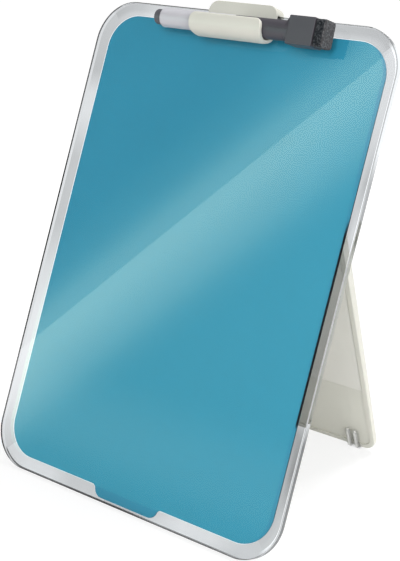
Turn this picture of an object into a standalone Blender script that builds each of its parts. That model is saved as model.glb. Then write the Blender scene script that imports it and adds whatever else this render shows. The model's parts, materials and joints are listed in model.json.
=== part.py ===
"""Desktop glass whiteboard with a folding leg, a push-on pen holder and a capped marker.

Units are metres and +Z is up. The origin is on the table, under the middle of the whole object.
The board leans back: in the board's own frame X runs across it, Y runs into it from its front
face and Z runs up it from its lower edge. The leg, the pen holder, the marker and the cap each
have a frame of their own, an empty that stands on the axis or at the seat of its motion.
"""

import math

import bmesh
import bpy
from mathutils import Matrix, Vector

# Gaps and clearances
SEAT_GAP = 0.0003
CUT_OVERRUN = 0.0010
SIDE_CLEARANCE = 0.0010

# Writing area, an A4 sheet, and the clear glass around it
PANEL_WIDTH = 0.2100
PANEL_HEIGHT = 0.2970
PANEL_THICKNESS = 0.0008
PANEL_CORNER_RADIUS = 0.0214
RIM_WIDTH = 0.00825
GLASS_THICKNESS = 0.0040
GLASS_CORNER_RADIUS = 0.0270
GLASS_EDGE_BEVEL = 0.0004

# Tab of the panel, which runs down over the rim at the middle of the lower edge
TAB_WIDTH = 0.0385
TAB_SHOULDER_WIDTH = 0.0560
TAB_SHOULDER_RADIUS = 0.0030
TAB_MARGIN = 0.0015

# Foam tape between the panel and the rear cover
TAPE_THICKNESS = 0.0008
TAPE_WIDTH = 0.0160
TAPE_INSET = 0.0040

# Rear cover, a tray that the leg folds into
COVER_WIDTH = 0.1820
COVER_BOTTOM = 0.0100
COVER_TOP = 0.2970
COVER_THICKNESS = 0.0022
COVER_CORNER_RADIUS = 0.0140
COVER_EDGE_BEVEL = 0.0006
GUARD_THICKNESS = 0.0022
GUARD_HEIGHT = 0.0046
GUARD_TOP_ROOM = 0.0160
GUARD_CORNER_RADIUS = 0.0100
GUARD_BOTTOM_ROOM = 0.0125
TONGUE_WIDTH = 0.0300
TONGUE_BOTTOM = 0.0042
TONGUE_STEP = 0.0002
TONGUE_ROOT = 0.0065

# Front foot, a rubber channel pushed onto the cover's tongue behind the tab
FRONT_FOOT_WIDTH = 0.0340
FRONT_FOOT_WALL = 0.0015
FRONT_FOOT_HEIGHT = 0.0085
GLASS_LIFT = 0.00035

# Hinge
HINGE_HEIGHT = 0.2250
FOLD_ROOM = 0.0028
LEG_FACE_OFFSET = 0.0025
KNUCKLE_RADIUS = 0.0038
KNUCKLE_WIDTH = 0.1190
EAR_RADIUS = 0.0044
EAR_WIDTH = 0.0060
PIN_RADIUS = 0.0015
PIN_CLEARANCE = 0.00012
PIN_HEAD_RADIUS = 0.0027
PIN_HEAD_LENGTH = 0.0009
HEEL_LOW = 0.0005
HEEL_HIGH = 0.0040

# Folding leg
LEG_WIDTH = 0.1670
LEG_TOE_THICKNESS = 0.0032
LEG_TOP_THICKNESS = 0.0070
LEG_TOP_GAP = 0.0080
LEG_TOE_RADIUS = 0.0100
LEG_TOP_RADIUS = 0.0060
LEG_EDGE_BEVEL = 0.0008
LEG_BORDER = 0.0034
LEG_SKIN = 0.0016
LEG_LIFT = 0.0010
TOE_ZONE_HEIGHT = 0.0515
TOE_ZONE_RECESS = 0.0009
LINER_THICKNESS = 0.0014
LINER_RECESS = 0.0005
LINER_SIDE_GAP = 0.0003
RIB_THICKNESS = 0.0016
CELL_LOWER_EDGE = 0.0800
CELL_TOP_LAND = 0.0060
CELL_COLUMNS = 4
CELL_ROWS = 3

# Clear feet, pushed onto the leg's lower edge
LEG_FOOT_WIDTH = 0.0100
LEG_FOOT_INSET = 0.0167
LEG_FOOT_WALL = 0.0012
LEG_FOOT_FRONT_HEIGHT = 0.0145
LEG_FOOT_BACK_HEIGHT = 0.0070
LEG_FOOT_RIB_WIDTH = 0.0020
LEG_FOOT_RIB_HEIGHT = 0.0006

# Marker and cap
CAP_RADIUS = 0.0061
CAP_BORE_RADIUS = 0.0053
CAP_BORE_LENGTH = 0.0305
CAP_TUBE_LENGTH = 0.0378
CAP_SHOULDER_LENGTH = 0.0032
CAP_BOX_LENGTH = 0.0182
CAP_BOX_HEIGHT = 0.0169
CAP_BOX_DEPTH = 0.0126
CAP_BOX_RISE = 0.0003
CAP_BOX_BEVEL = 0.0007
SOCKET_DEPTH = 0.0070
SOCKET_WALL = 0.0014
FELT_LENGTH = 0.0066
FELT_STEM_LENGTH = 0.0060
FELT_INSET = 0.00035
FELT_CORNER_RADIUS = 0.0020
FELT_BEVEL = 0.0008
MARKER_RADIUS = 0.0061
MARKER_LENGTH = 0.0562
MARKER_LIP_RADIUS = 0.0014
MARKER_BORE_RADIUS = 0.0044
MARKER_NECK_LENGTH = 0.0100
MARKER_REST_OFFSET = 0.0031
TAIL_RADIUS = 0.0048
TAIL_LENGTH = 0.0050
TAIL_ROUND = 0.0012
TAIL_STEM_LENGTH = 0.0040
TAIL_LAND = 0.0006
NOSE_FLANGE_LENGTH = 0.0024
NOSE_CONE_LENGTH = 0.0100
NOSE_TIP_RADIUS = 0.0023
NOSE_STEM_LENGTH = 0.0055
NIB_RADIUS = 0.0014
NIB_PROUD = 0.0050
NIB_TIP_RADIUS = 0.0007

# Pen holder, pushed onto the board's upper edge
HOLDER_WIDTH = 0.0536
HOLDER_FRONT_WALL = 0.0024
HOLDER_BACK_PLATE = 0.0018
CHANNEL_GAP = 0.0006
HOLDER_REAR_WALL = 0.0024
HOLDER_REAR_GRIP = 0.0070
HOLDER_TAB_WIDTH = 0.0514
HOLDER_TAB_RISE = 0.0058
HOLDER_TAB_RADIUS = 0.0065
TROUGH_DROP = 0.0100
TROUGH_WALL_RISE = 0.0040
TROUGH_CORNER_RADIUS = 0.0047
HOLDER_EDGE_BEVEL = 0.0004

# Angles from the vertical, in degrees
BOARD_LEAN = 23.2
LEG_ANGLE = 18.3
CAP_ROLL = 4.3

# Steps of the round forms
CORNER_STEPS = 14
SMALL_ARC_STEPS = 8
ROUND_STEPS = 40
PIN_STEPS = 24
SHARP_ANGLE = 35.0
FLAT_ANGLE = 0.1

# Sizes and places worked out from the values above
GLASS_WIDTH = PANEL_WIDTH + 2 * RIM_WIDTH
GLASS_HEIGHT = PANEL_HEIGHT + 2 * RIM_WIDTH
PANEL_FRONT = GLASS_THICKNESS + SEAT_GAP
TAPE_FRONT = PANEL_FRONT + PANEL_THICKNESS + SEAT_GAP
COVER_FRONT = TAPE_FRONT + TAPE_THICKNESS + SEAT_GAP
COVER_BACK = COVER_FRONT + COVER_THICKNESS
HINGE_DEPTH = COVER_BACK + FOLD_ROOM + LEG_FACE_OFFSET
LEAN = math.radians(BOARD_LEAN)
SLOPE = math.radians(LEG_ANGLE)
OPEN_ANGLE = LEAN + SLOPE
BOARD_Z = GLASS_LIFT + GLASS_THICKNESS * math.sin(LEAN)
HINGE_Y = HINGE_HEIGHT * math.sin(LEAN) + HINGE_DEPTH * math.cos(LEAN)
HINGE_Z = BOARD_Z + HINGE_HEIGHT * math.cos(LEAN) - HINGE_DEPTH * math.sin(LEAN)
LEG_LENGTH = (HINGE_Z - LEG_FACE_OFFSET * math.sin(SLOPE) - LEG_LIFT) / math.cos(SLOPE)
LEG_PLATE_LENGTH = LEG_LENGTH - LEG_TOP_GAP
CHANNEL_RADIUS = CAP_RADIUS + CHANNEL_GAP
PEN_DEPTH = -(SEAT_GAP + HOLDER_BACK_PLATE + CHANNEL_RADIUS)
PEN_HEIGHT = GLASS_HEIGHT - TROUGH_DROP
NECK_RADIUS = CAP_BORE_RADIUS - SEAT_GAP
CORE_RADIUS = MARKER_BORE_RADIUS - SEAT_GAP
NIB_BORE_RADIUS = NIB_RADIUS + SEAT_GAP
CAP_LENGTH = CAP_TUBE_LENGTH + CAP_SHOULDER_LENGTH

COLLECTION_NAME = "desktop_glass_whiteboard"
parts = bpy.data.collections.new(COLLECTION_NAME)
cutters = bpy.data.collections.new("cutters")


def clear_scene():
    """Remove every object that the file holds."""
    for thing in list(bpy.data.objects):
        bpy.data.objects.remove(thing, do_unlink=True)


def arc(centre, radius, start, end, steps):
    """Points of an arc from start to end, in degrees, both ends included."""
    points = []
    for step in range(steps + 1):
        angle = math.radians(start + (end - start) * step / steps)
        points.append((centre[0] + radius * math.cos(angle), centre[1] + radius * math.sin(angle)))
    return points


def rounded_outline(half_width, low, high, low_radius, high_radius, steps=CORNER_STEPS):
    """Counter-clockwise rectangle about X = 0, with one radius for each pair of corners."""
    points = arc((half_width - high_radius, high - high_radius), high_radius, 0, 90, steps)
    points += arc((-half_width + high_radius, high - high_radius), high_radius, 90, 180, steps)
    points += arc((-half_width + low_radius, low + low_radius), low_radius, 180, 270, steps)
    points += arc((half_width - low_radius, low + low_radius), low_radius, 270, 360, steps)
    return points


def smooth(mesh):
    """Shade a mesh smooth, with its edges kept sharp."""
    mesh.shade_smooth()
    mesh.set_sharp_from_angle(angle=math.radians(SHARP_ANGLE))


def add_object(name, mesh, collection, parent=None, location=(0, 0, 0), rotation=(0, 0, 0)):
    """Put a mesh into the scene as one named object."""
    thing = bpy.data.objects.new(name, mesh)
    collection.objects.link(thing)
    thing.parent = parent
    thing.location = location
    thing.rotation_euler = rotation
    if collection is cutters:
        thing.hide_render = True
        thing.display_type = "WIRE"
    return thing


def add_frame(name, parent=None, location=(0, 0, 0), tilt=0.0):
    """Add an empty, tilted about X, that carries other objects."""
    frame = bpy.data.objects.new(name, None)
    parts.objects.link(frame)
    frame.empty_display_size = KNUCKLE_RADIUS
    frame.parent = parent
    frame.location = location
    frame.rotation_euler = (tilt, 0, 0)
    return frame


def outline_mesh(name, outline, thickness, turn):
    """Fill a flat outline, give it a thickness and turn it out of the XY plane."""
    curve = bpy.data.curves.new(name, "CURVE")
    curve.dimensions = "2D"
    curve.fill_mode = "BOTH"
    curve.extrude = thickness / 2
    spline = curve.splines.new("POLY")
    spline.points.add(len(outline) - 1)
    for point, (x, y) in zip(spline.points, outline):
        point.co = (x, y, 0, 1)
    spline.use_cyclic_u = True
    holder = bpy.data.objects.new(name, curve)
    cutters.objects.link(holder)
    graph = bpy.context.evaluated_depsgraph_get()
    mesh = bpy.data.meshes.new_from_object(holder.evaluated_get(graph))
    bpy.data.objects.remove(holder, do_unlink=True)
    work = bmesh.new()
    work.from_mesh(mesh)
    bmesh.ops.remove_doubles(work, verts=work.verts, dist=SEAT_GAP / 100)
    bmesh.ops.recalc_face_normals(work, faces=work.faces)
    flat = math.radians(FLAT_ANGLE)
    bmesh.ops.dissolve_limit(work, angle_limit=flat, verts=work.verts, edges=work.edges)
    work.to_mesh(mesh)
    work.free()
    mesh.transform(turn)
    smooth(mesh)
    return mesh


def front_plate(name, outline, near, far):
    """Mesh of an outline in X and Z that runs from depth near to depth far along Y."""
    turn = Matrix.Translation((0, (near + far) / 2, 0)) @ Matrix.Rotation(math.radians(90), 4, "X")
    return outline_mesh(name, outline, far - near, turn)


def side_profile(name, outline, left, right):
    """Mesh of an outline in Y and Z that runs from left to right along X."""
    swap = Matrix(((0, 0, 1, 0), (1, 0, 0, 0), (0, 1, 0, 0), (0, 0, 0, 1)))
    turn = Matrix.Translation(((left + right) / 2, 0, 0)) @ swap
    return outline_mesh(name, outline, right - left, turn)


def box_mesh(name, low, high):
    """Box between two corners."""
    mesh = bpy.data.meshes.new(name)
    work = bmesh.new()
    bmesh.ops.create_cube(work, size=1)
    for vertex in work.verts:
        for axis in range(3):
            vertex.co[axis] = low[axis] + (high[axis] - low[axis]) * (vertex.co[axis] + 0.5)
    work.to_mesh(mesh)
    work.free()
    return mesh


def rod_mesh(name, radius, start, end, steps=ROUND_STEPS):
    """Cylinder along X from start to end."""
    mesh = bpy.data.meshes.new(name)
    work = bmesh.new()
    bmesh.ops.create_cone(
        work, cap_ends=True, segments=steps, radius1=radius, radius2=radius, depth=end - start
    )
    work.to_mesh(mesh)
    work.free()
    turn = Matrix.Translation(((start + end) / 2, 0, 0)) @ Matrix.Rotation(math.radians(90), 4, "Y")
    mesh.transform(turn)
    smooth(mesh)
    return mesh


def turned_part(name, profile, parent, steps=ROUND_STEPS, closed=False):
    """Turn a profile of (place along X, radius) pairs, listed from +X to -X, about the X axis."""
    mesh = bpy.data.meshes.new(name)
    work = bmesh.new()
    corners = [work.verts.new((radius, 0, place)) for place, radius in profile]
    pairs = list(zip(corners, corners[1:]))
    if closed:
        pairs.append((corners[-1], corners[0]))
    for first, second in pairs:
        work.edges.new((first, second))
    work.to_mesh(mesh)
    work.free()
    part = add_object(name, mesh, parts, parent, rotation=(0, math.radians(90), 0))
    screw = part.modifiers.new("turn", "SCREW")
    screw.axis = "Z"
    screw.steps = steps
    screw.render_steps = steps
    screw.use_merge_vertices = True
    screw.merge_threshold = SEAT_GAP / 100
    screw.use_smooth_shade = True
    return part


def bevel(part, width, segments=2):
    """Round the edges of a part that is still a plain solid."""
    rounding = part.modifiers.new("edges", "BEVEL")
    rounding.width = width
    rounding.segments = segments
    rounding.limit_method = "ANGLE"
    rounding.angle_limit = math.radians(60)


def combine(part, tools, operation):
    """Join tools to a part, or cut them from it."""
    for tool in tools:
        change = part.modifiers.new(operation.lower(), "BOOLEAN")
        change.operation = operation
        change.solver = "EXACT"
        change.object = tool


def finish(part, colour, roughness, metallic=0.0, transmission=0.0):
    """Give a part a Principled material of its own."""
    material = bpy.data.materials.new(part.name + "_finish")
    material.use_nodes = True
    shader = material.node_tree.nodes["Principled BSDF"]
    shader.inputs["Base Color"].default_value = (*colour, 1.0)
    shader.inputs["Roughness"].default_value = roughness
    shader.inputs["Metallic"].default_value = metallic
    shader.inputs["Transmission Weight"].default_value = transmission
    material.diffuse_color = (*colour, 1.0)
    part.data.materials.append(material)


CLEAR_GLASS = (0.93, 0.95, 0.96)
PANEL_BLUE = (0.047, 0.287, 0.434)
CREAM = (0.62, 0.63, 0.56)
TAPE_WHITE = (0.78, 0.78, 0.78)
STEEL = (0.60, 0.60, 0.60)
CLEAR_SILICONE = (0.85, 0.86, 0.86)
PALE_GREY = (0.58, 0.58, 0.64)
DARK_GREY = (0.092, 0.092, 0.105)
FELT_GREY = (0.05, 0.055, 0.06)
INK_BLACK = (0.02, 0.02, 0.025)


def make_glass_sheet(board):
    """Clear sheet with rounded corners and fine bevels round both faces."""
    outline = rounded_outline(
        GLASS_WIDTH / 2, 0, GLASS_HEIGHT, GLASS_CORNER_RADIUS, GLASS_CORNER_RADIUS
    )
    sheet = add_object("glass_sheet", front_plate("glass_sheet", outline, 0, GLASS_THICKNESS), parts, board)
    bevel(sheet, GLASS_EDGE_BEVEL)
    finish(sheet, CLEAR_GLASS, 0.02, transmission=1.0)


def tab_side():
    """Right side of the tab: two arcs that turn out of the lower edge and into the tab's foot."""
    drop = RIM_WIDTH - TAB_MARGIN
    run = (TAB_SHOULDER_WIDTH - TAB_WIDTH) / 2
    turn = 2 * math.atan2(drop, run)
    foot_radius = run / math.sin(turn) - TAB_SHOULDER_RADIUS
    foot_centre = (TAB_WIDTH / 2, TAB_MARGIN + foot_radius)
    shoulder_centre = (TAB_SHOULDER_WIDTH / 2, RIM_WIDTH - TAB_SHOULDER_RADIUS)
    sweep = math.degrees(turn)
    points = arc(foot_centre, foot_radius, 270, 270 + sweep, SMALL_ARC_STEPS)
    points += arc(shoulder_centre, TAB_SHOULDER_RADIUS, 90 + sweep, 90, SMALL_ARC_STEPS)[1:]
    return points


def make_colour_panel(board):
    """Opaque blue panel behind the glass, with the tab at its lower edge."""
    half = PANEL_WIDTH / 2
    low = RIM_WIDTH
    high = RIM_WIDTH + PANEL_HEIGHT
    radius = PANEL_CORNER_RADIUS
    right_tab = tab_side()
    left_tab = [(-x, z) for x, z in reversed(right_tab)]
    outline = arc((half - radius, low + radius), radius, 270, 360, CORNER_STEPS)
    outline += arc((half - radius, high - radius), radius, 0, 90, CORNER_STEPS)
    outline += arc((-half + radius, high - radius), radius, 90, 180, CORNER_STEPS)
    outline += arc((-half + radius, low + radius), radius, 180, 270, CORNER_STEPS)
    outline += left_tab + right_tab
    mesh = front_plate("colour_panel", outline, PANEL_FRONT, PANEL_FRONT + PANEL_THICKNESS)
    panel = add_object("colour_panel", mesh, parts, board)
    finish(panel, PANEL_BLUE, 0.35)


def make_tapes(board):
    """Four strips of foam tape that hold the rear cover to the panel."""
    half = COVER_WIDTH / 2 - TAPE_INSET
    low = COVER_BOTTOM + COVER_CORNER_RADIUS
    high = COVER_TOP - TAPE_INSET
    inner = half - TAPE_WIDTH - SEAT_GAP
    far = TAPE_FRONT + TAPE_THICKNESS
    spans = {
        "bonding_tape_left": ((-half, low), (-half + TAPE_WIDTH, high - COVER_CORNER_RADIUS)),
        "bonding_tape_right": ((half - TAPE_WIDTH, low), (half, high - COVER_CORNER_RADIUS)),
        "bonding_tape_bottom": ((-inner, low), (inner, low + TAPE_WIDTH)),
        "bonding_tape_top": ((-inner, high - TAPE_WIDTH), (inner, high)),
    }
    for name, (corner, opposite) in spans.items():
        mesh = box_mesh(name, (corner[0], TAPE_FRONT, corner[1]), (opposite[0], far, opposite[1]))
        tape = add_object(name, mesh, parts, board)
        finish(tape, TAPE_WHITE, 0.9)


def guard_outline(inset):
    """Outline of the leg's bay in the cover, open below, grown outwards by a negative inset."""
    half = LEG_WIDTH / 2 + SIDE_CLEARANCE - inset
    high = HINGE_HEIGHT + GUARD_TOP_ROOM - inset
    low = COVER_BOTTOM - CUT_OVERRUN
    radius = GUARD_CORNER_RADIUS - inset
    points = [(-half, low), (half, low)]
    points += arc((half - radius, high - radius), radius, 0, 90, SMALL_ARC_STEPS)
    points += arc((-half + radius, high - radius), radius, 90, 180, SMALL_ARC_STEPS)
    return points


def ear_outline():
    """Side profile of a hinge ear: an eye on a foot that widens into the cover."""
    floor = COVER_BACK - COVER_THICKNESS / 2
    points = arc((HINGE_DEPTH, HINGE_HEIGHT), EAR_RADIUS, -90, 90, SMALL_ARC_STEPS)
    points.append((COVER_BACK + PIN_RADIUS, HINGE_HEIGHT + EAR_RADIUS))
    points.append((COVER_BACK, HINGE_HEIGHT + EAR_RADIUS + PIN_RADIUS))
    points.append((floor, HINGE_HEIGHT + EAR_RADIUS + PIN_RADIUS))
    points.append((floor, HINGE_HEIGHT - EAR_RADIUS - PIN_RADIUS))
    points.append((COVER_BACK, HINGE_HEIGHT - EAR_RADIUS - PIN_RADIUS))
    points.append((COVER_BACK + PIN_RADIUS, HINGE_HEIGHT - EAR_RADIUS))
    return points


def make_rear_cover(board):
    """Moulded cover: a plate with a tongue, a low guard round the leg's bay and two hinge ears."""
    half = COVER_WIDTH / 2
    radius = COVER_CORNER_RADIUS
    outline = arc((half - radius, COVER_BOTTOM + radius), radius, 270, 360, CORNER_STEPS)
    outline += arc((half - radius, COVER_TOP - radius), radius, 0, 90, CORNER_STEPS)
    outline += arc((-half + radius, COVER_TOP - radius), radius, 90, 180, CORNER_STEPS)
    outline += arc((-half + radius, COVER_BOTTOM + radius), radius, 180, 270, CORNER_STEPS)
    cover = add_object("rear_cover", front_plate("rear_cover", outline, COVER_FRONT, COVER_BACK), parts, board)
    bevel(cover, COVER_EDGE_BEVEL)
    tongue = add_object(
        "tongue_block",
        box_mesh(
            "tongue_block",
            (-TONGUE_WIDTH / 2, COVER_FRONT + TONGUE_STEP, TONGUE_BOTTOM),
            (TONGUE_WIDTH / 2, COVER_BACK - TONGUE_STEP, COVER_BOTTOM + TONGUE_ROOT),
        ),
        cutters,
        board,
    )
    middle = COVER_BACK - COVER_THICKNESS / 2
    top = COVER_BACK + GUARD_HEIGHT
    ring = add_object(
        "guard_block",
        front_plate("guard_block", guard_outline(-GUARD_THICKNESS), middle, top),
        cutters,
        board,
    )
    bay = add_object(
        "guard_bay",
        front_plate("guard_bay", guard_outline(0), COVER_BACK, top + CUT_OVERRUN),
        cutters,
        board,
    )
    trim = add_object(
        "guard_trim",
        box_mesh(
            "guard_trim",
            (-COVER_WIDTH, COVER_FRONT - CUT_OVERRUN, COVER_BOTTOM - CUT_OVERRUN * 2),
            (COVER_WIDTH, top + CUT_OVERRUN, COVER_BOTTOM + GUARD_BOTTOM_ROOM),
        ),
        cutters,
        board,
    )
    combine(ring, [bay, trim], "DIFFERENCE")
    ears = []
    for side in (-1, 1):
        inner = KNUCKLE_WIDTH / 2 + SEAT_GAP
        ends = sorted((side * inner, side * (inner + EAR_WIDTH)))
        ears.append(add_object("ear_block", side_profile("ear_block", ear_outline(), *ends), cutters, board))
    combine(cover, [tongue, ring] + ears, "UNION")
    reach = KNUCKLE_WIDTH / 2 + EAR_WIDTH + CUT_OVERRUN
    bore = add_object(
        "ear_bore",
        rod_mesh("ear_bore", PIN_RADIUS + PIN_CLEARANCE, -reach, reach, PIN_STEPS),
        cutters,
        board,
        location=(0, HINGE_DEPTH, HINGE_HEIGHT),
    )
    combine(cover, [bore], "DIFFERENCE")
    finish(cover, CREAM, 0.45)


def table_height(depth):
    """Height along the board at which the table lies, at a depth behind the front face."""
    return (depth * math.sin(LEAN) - BOARD_Z) / math.cos(LEAN)


def make_front_foot(board):
    """Rubber channel on the cover's tongue, cut flat where it stands on the table."""
    near = COVER_FRONT - SEAT_GAP - TAPE_THICKNESS
    far = COVER_BACK + SEAT_GAP + FRONT_FOOT_WALL
    top = TONGUE_BOTTOM + FRONT_FOOT_HEIGHT
    front_top = COVER_BOTTOM
    slot_floor = TONGUE_BOTTOM - SEAT_GAP
    profile = [
        (near, table_height(near)),
        (far, table_height(far)),
        (far, top),
        (COVER_BACK + SEAT_GAP, top),
        (COVER_BACK + SEAT_GAP, slot_floor),
        (COVER_FRONT - SEAT_GAP, slot_floor),
        (COVER_FRONT - SEAT_GAP, front_top),
        (near, front_top),
    ]
    half = FRONT_FOOT_WIDTH / 2
    foot = add_object("front_foot", side_profile("front_foot", profile, -half, half), parts, board)
    finish(foot, CLEAR_SILICONE, 0.3, transmission=0.7)


def make_hinge_pin(leg):
    """Steel pin through the ears and the leg's knuckle, with a head at its left end."""
    inner = KNUCKLE_WIDTH / 2 + SEAT_GAP + EAR_WIDTH
    head = -inner - SEAT_GAP
    profile = [
        (inner, 0),
        (inner, PIN_RADIUS),
        (head, PIN_RADIUS),
        (head, PIN_HEAD_RADIUS),
        (head - PIN_HEAD_LENGTH, PIN_HEAD_RADIUS),
        (head - PIN_HEAD_LENGTH, 0),
    ]
    pin = turned_part("hinge_pin", profile, leg, PIN_STEPS)
    finish(pin, STEEL, 0.3, metallic=1.0)


def leg_outer_depth(height):
    """Depth of the leg's outer skin at a height in the leg's frame, where it tapers to the toe."""
    share = (height + LEG_LENGTH) / LEG_PLATE_LENGTH
    thickness = LEG_TOE_THICKNESS + (LEG_TOP_THICKNESS - LEG_TOE_THICKNESS) * share
    return thickness - LEG_FACE_OFFSET


def taper(mesh, skin):
    """Move the rear vertices of a prism onto the leg's tapered skin, less a wall."""
    middle = sum(vertex.co.y for vertex in mesh.vertices) / len(mesh.vertices)
    for vertex in mesh.vertices:
        if vertex.co.y > middle:
            vertex.co.y = leg_outer_depth(vertex.co.z) - skin
    mesh.update()


def knuckle_outline():
    """Side profile of the knuckle, its neck and the heel that stops on the cover when open."""
    face = -LEG_FACE_OFFSET
    overlap = -LEG_TOP_GAP - LEG_TOP_RADIUS
    floor_gap = -(HINGE_DEPTH - COVER_BACK - SEAT_GAP)
    heel = []
    for rise in (HEEL_HIGH, HEEL_LOW):
        depth = floor_gap * math.cos(OPEN_ANGLE) + rise * math.sin(OPEN_ANGLE)
        height = -floor_gap * math.sin(OPEN_ANGLE) + rise * math.cos(OPEN_ANGLE)
        heel.append((depth, height))
    neck = -math.sqrt(KNUCKLE_RADIUS**2 - LEG_FACE_OFFSET**2)
    neck_angle = 180 + math.degrees(math.atan2(-neck, LEG_FACE_OFFSET))
    points = [(face, overlap), (leg_outer_depth(overlap) - LEG_SKIN / 2, overlap)]
    points.append((leg_outer_depth(overlap) - LEG_SKIN / 2, -LEG_TOP_GAP))
    points += arc((0, 0), KNUCKLE_RADIUS, 0, 70, SMALL_ARC_STEPS)
    points += heel
    points += arc((0, 0), KNUCKLE_RADIUS, 165, neck_angle, SMALL_ARC_STEPS)
    return points


def make_leg_shell(leg):
    """Moulded leg: a tapered plate with a border, a ribbed pocket, a knuckle and a stop heel."""
    half = LEG_WIDTH / 2
    face = -LEG_FACE_OFFSET
    low = -LEG_LENGTH
    high = -LEG_TOP_GAP
    outline = rounded_outline(half, low, high, LEG_TOE_RADIUS, LEG_TOP_RADIUS)
    mesh = front_plate("leg_shell", outline, face, face + LEG_TOP_THICKNESS)
    taper(mesh, 0)
    shell = add_object("leg_shell", mesh, parts, leg)
    bevel(shell, LEG_EDGE_BEVEL)
    knuckle = add_object(
        "knuckle_block",
        side_profile("knuckle_block", knuckle_outline(), -KNUCKLE_WIDTH / 2, KNUCKLE_WIDTH / 2),
        cutters,
        leg,
    )
    combine(shell, [knuckle], "UNION")

    inner = half - LEG_BORDER
    toe_top = low + TOE_ZONE_HEIGHT
    pocket_top = high - LEG_BORDER
    toe_radius = LEG_TOE_RADIUS - LEG_BORDER
    top_radius = LEG_TOP_RADIUS - LEG_BORDER
    toe = add_object(
        "toe_recess",
        front_plate(
            "toe_recess",
            rounded_outline(inner, low + LEG_BORDER, pocket_top, toe_radius, top_radius, SMALL_ARC_STEPS),
            face - CUT_OVERRUN,
            face + TOE_ZONE_RECESS,
        ),
        cutters,
        leg,
    )
    seat_depth = face + LINER_RECESS + LINER_THICKNESS + SEAT_GAP
    seat_half = inner - LINER_SIDE_GAP
    seat_top = pocket_top - LINER_SIDE_GAP
    seat_radius = top_radius - LINER_SIDE_GAP
    seat = add_object(
        "liner_seat",
        front_plate(
            "liner_seat",
            rounded_outline(seat_half, toe_top, seat_top, SEAT_GAP, seat_radius, SMALL_ARC_STEPS),
            face - CUT_OVERRUN,
            seat_depth,
        ),
        cutters,
        leg,
    )
    cells = []
    cell_low = low + CELL_LOWER_EDGE
    cell_high = pocket_top - CELL_TOP_LAND
    edge = inner - RIB_THICKNESS
    column = (2 * edge + RIB_THICKNESS) / CELL_COLUMNS
    row = (cell_high - cell_low + RIB_THICKNESS) / CELL_ROWS
    for across in range(CELL_COLUMNS):
        for up in range(CELL_ROWS):
            left = -edge + across * column
            bottom = cell_low + up * row
            cell_mesh = box_mesh(
                "leg_cell",
                (left, seat_depth - LINER_THICKNESS / 2, bottom),
                (left + column - RIB_THICKNESS, seat_depth + LEG_SKIN, bottom + row - RIB_THICKNESS),
            )
            taper(cell_mesh, LEG_SKIN)
            cells.append(add_object("leg_cell", cell_mesh, cutters, leg))
    reach = KNUCKLE_WIDTH / 2 + CUT_OVERRUN
    bore = add_object(
        "knuckle_bore",
        rod_mesh("knuckle_bore", PIN_RADIUS + PIN_CLEARANCE, -reach, reach, PIN_STEPS),
        cutters,
        leg,
    )
    combine(shell, [toe, seat] + cells + [bore], "DIFFERENCE")
    finish(shell, CREAM, 0.45)


def make_leg_liner(leg):
    """Flat plate that closes the leg's ribbed pocket above the toe."""
    half = LEG_WIDTH / 2 - LEG_BORDER - 2 * LINER_SIDE_GAP
    low = -LEG_LENGTH + TOE_ZONE_HEIGHT + LINER_SIDE_GAP
    high = -LEG_TOP_GAP - LEG_BORDER - 2 * LINER_SIDE_GAP
    radius = LEG_TOP_RADIUS - LEG_BORDER - 2 * LINER_SIDE_GAP
    near = -LEG_FACE_OFFSET + LINER_RECESS
    outline = rounded_outline(half, low, high, LINER_RECESS, radius, SMALL_ARC_STEPS)
    mesh = front_plate("leg_liner", outline, near, near + LINER_THICKNESS)
    liner = add_object("leg_liner", mesh, parts, leg)
    finish(liner, CREAM, 0.4)


def leg_table_height(depth):
    """Height in the leg's frame at which the table lies, at a depth in that frame."""
    return -(HINGE_Z + depth * math.sin(SLOPE)) / math.cos(SLOPE)


def make_leg_feet(leg):
    """Two clear feet that hold the leg's lower edge, each with two ribs on its front."""
    front_inner = -LEG_FACE_OFFSET - SEAT_GAP
    front_outer = front_inner - LEG_FOOT_WALL
    back_top = -LEG_LENGTH + LEG_FOOT_BACK_HEIGHT
    back_inner = leg_outer_depth(back_top) + SEAT_GAP
    back_outer = back_inner + LEG_FOOT_WALL
    front_top = -LEG_LENGTH + LEG_FOOT_FRONT_HEIGHT
    slot_floor = -LEG_LENGTH - SEAT_GAP
    profile = [
        (front_outer, leg_table_height(front_outer)),
        (back_outer, leg_table_height(back_outer)),
        (back_outer, back_top),
        (back_inner, back_top),
        (back_inner, slot_floor),
        (front_inner, slot_floor),
        (front_inner, front_top),
        (front_outer, front_top),
    ]
    rib_top = front_top - LEG_FOOT_WALL
    rib_low = -LEG_LENGTH + LEG_FOOT_WALL
    for side, name in ((-1, "leg_foot_left"), (1, "leg_foot_right")):
        centre = side * (LEG_WIDTH / 2 - LEG_FOOT_INSET)
        half = LEG_FOOT_WIDTH / 2
        foot = add_object(name, side_profile(name, profile, centre - half, centre + half), parts, leg)
        ribs = []
        for direction in (-1, 1):
            outer = centre + direction * (half - LEG_FOOT_WALL)
            inner = outer - direction * LEG_FOOT_RIB_WIDTH
            left, right = sorted((outer, inner))
            ribs.append(
                add_object(
                    "foot_rib",
                    box_mesh(
                        "foot_rib",
                        (left, front_outer - LEG_FOOT_RIB_HEIGHT, rib_low),
                        (right, front_outer + LEG_FOOT_WALL / 2, rib_top),
                    ),
                    cutters,
                    leg,
                )
            )
        combine(foot, ribs, "UNION")
        finish(foot, CLEAR_SILICONE, 0.2, transmission=0.7)


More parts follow.
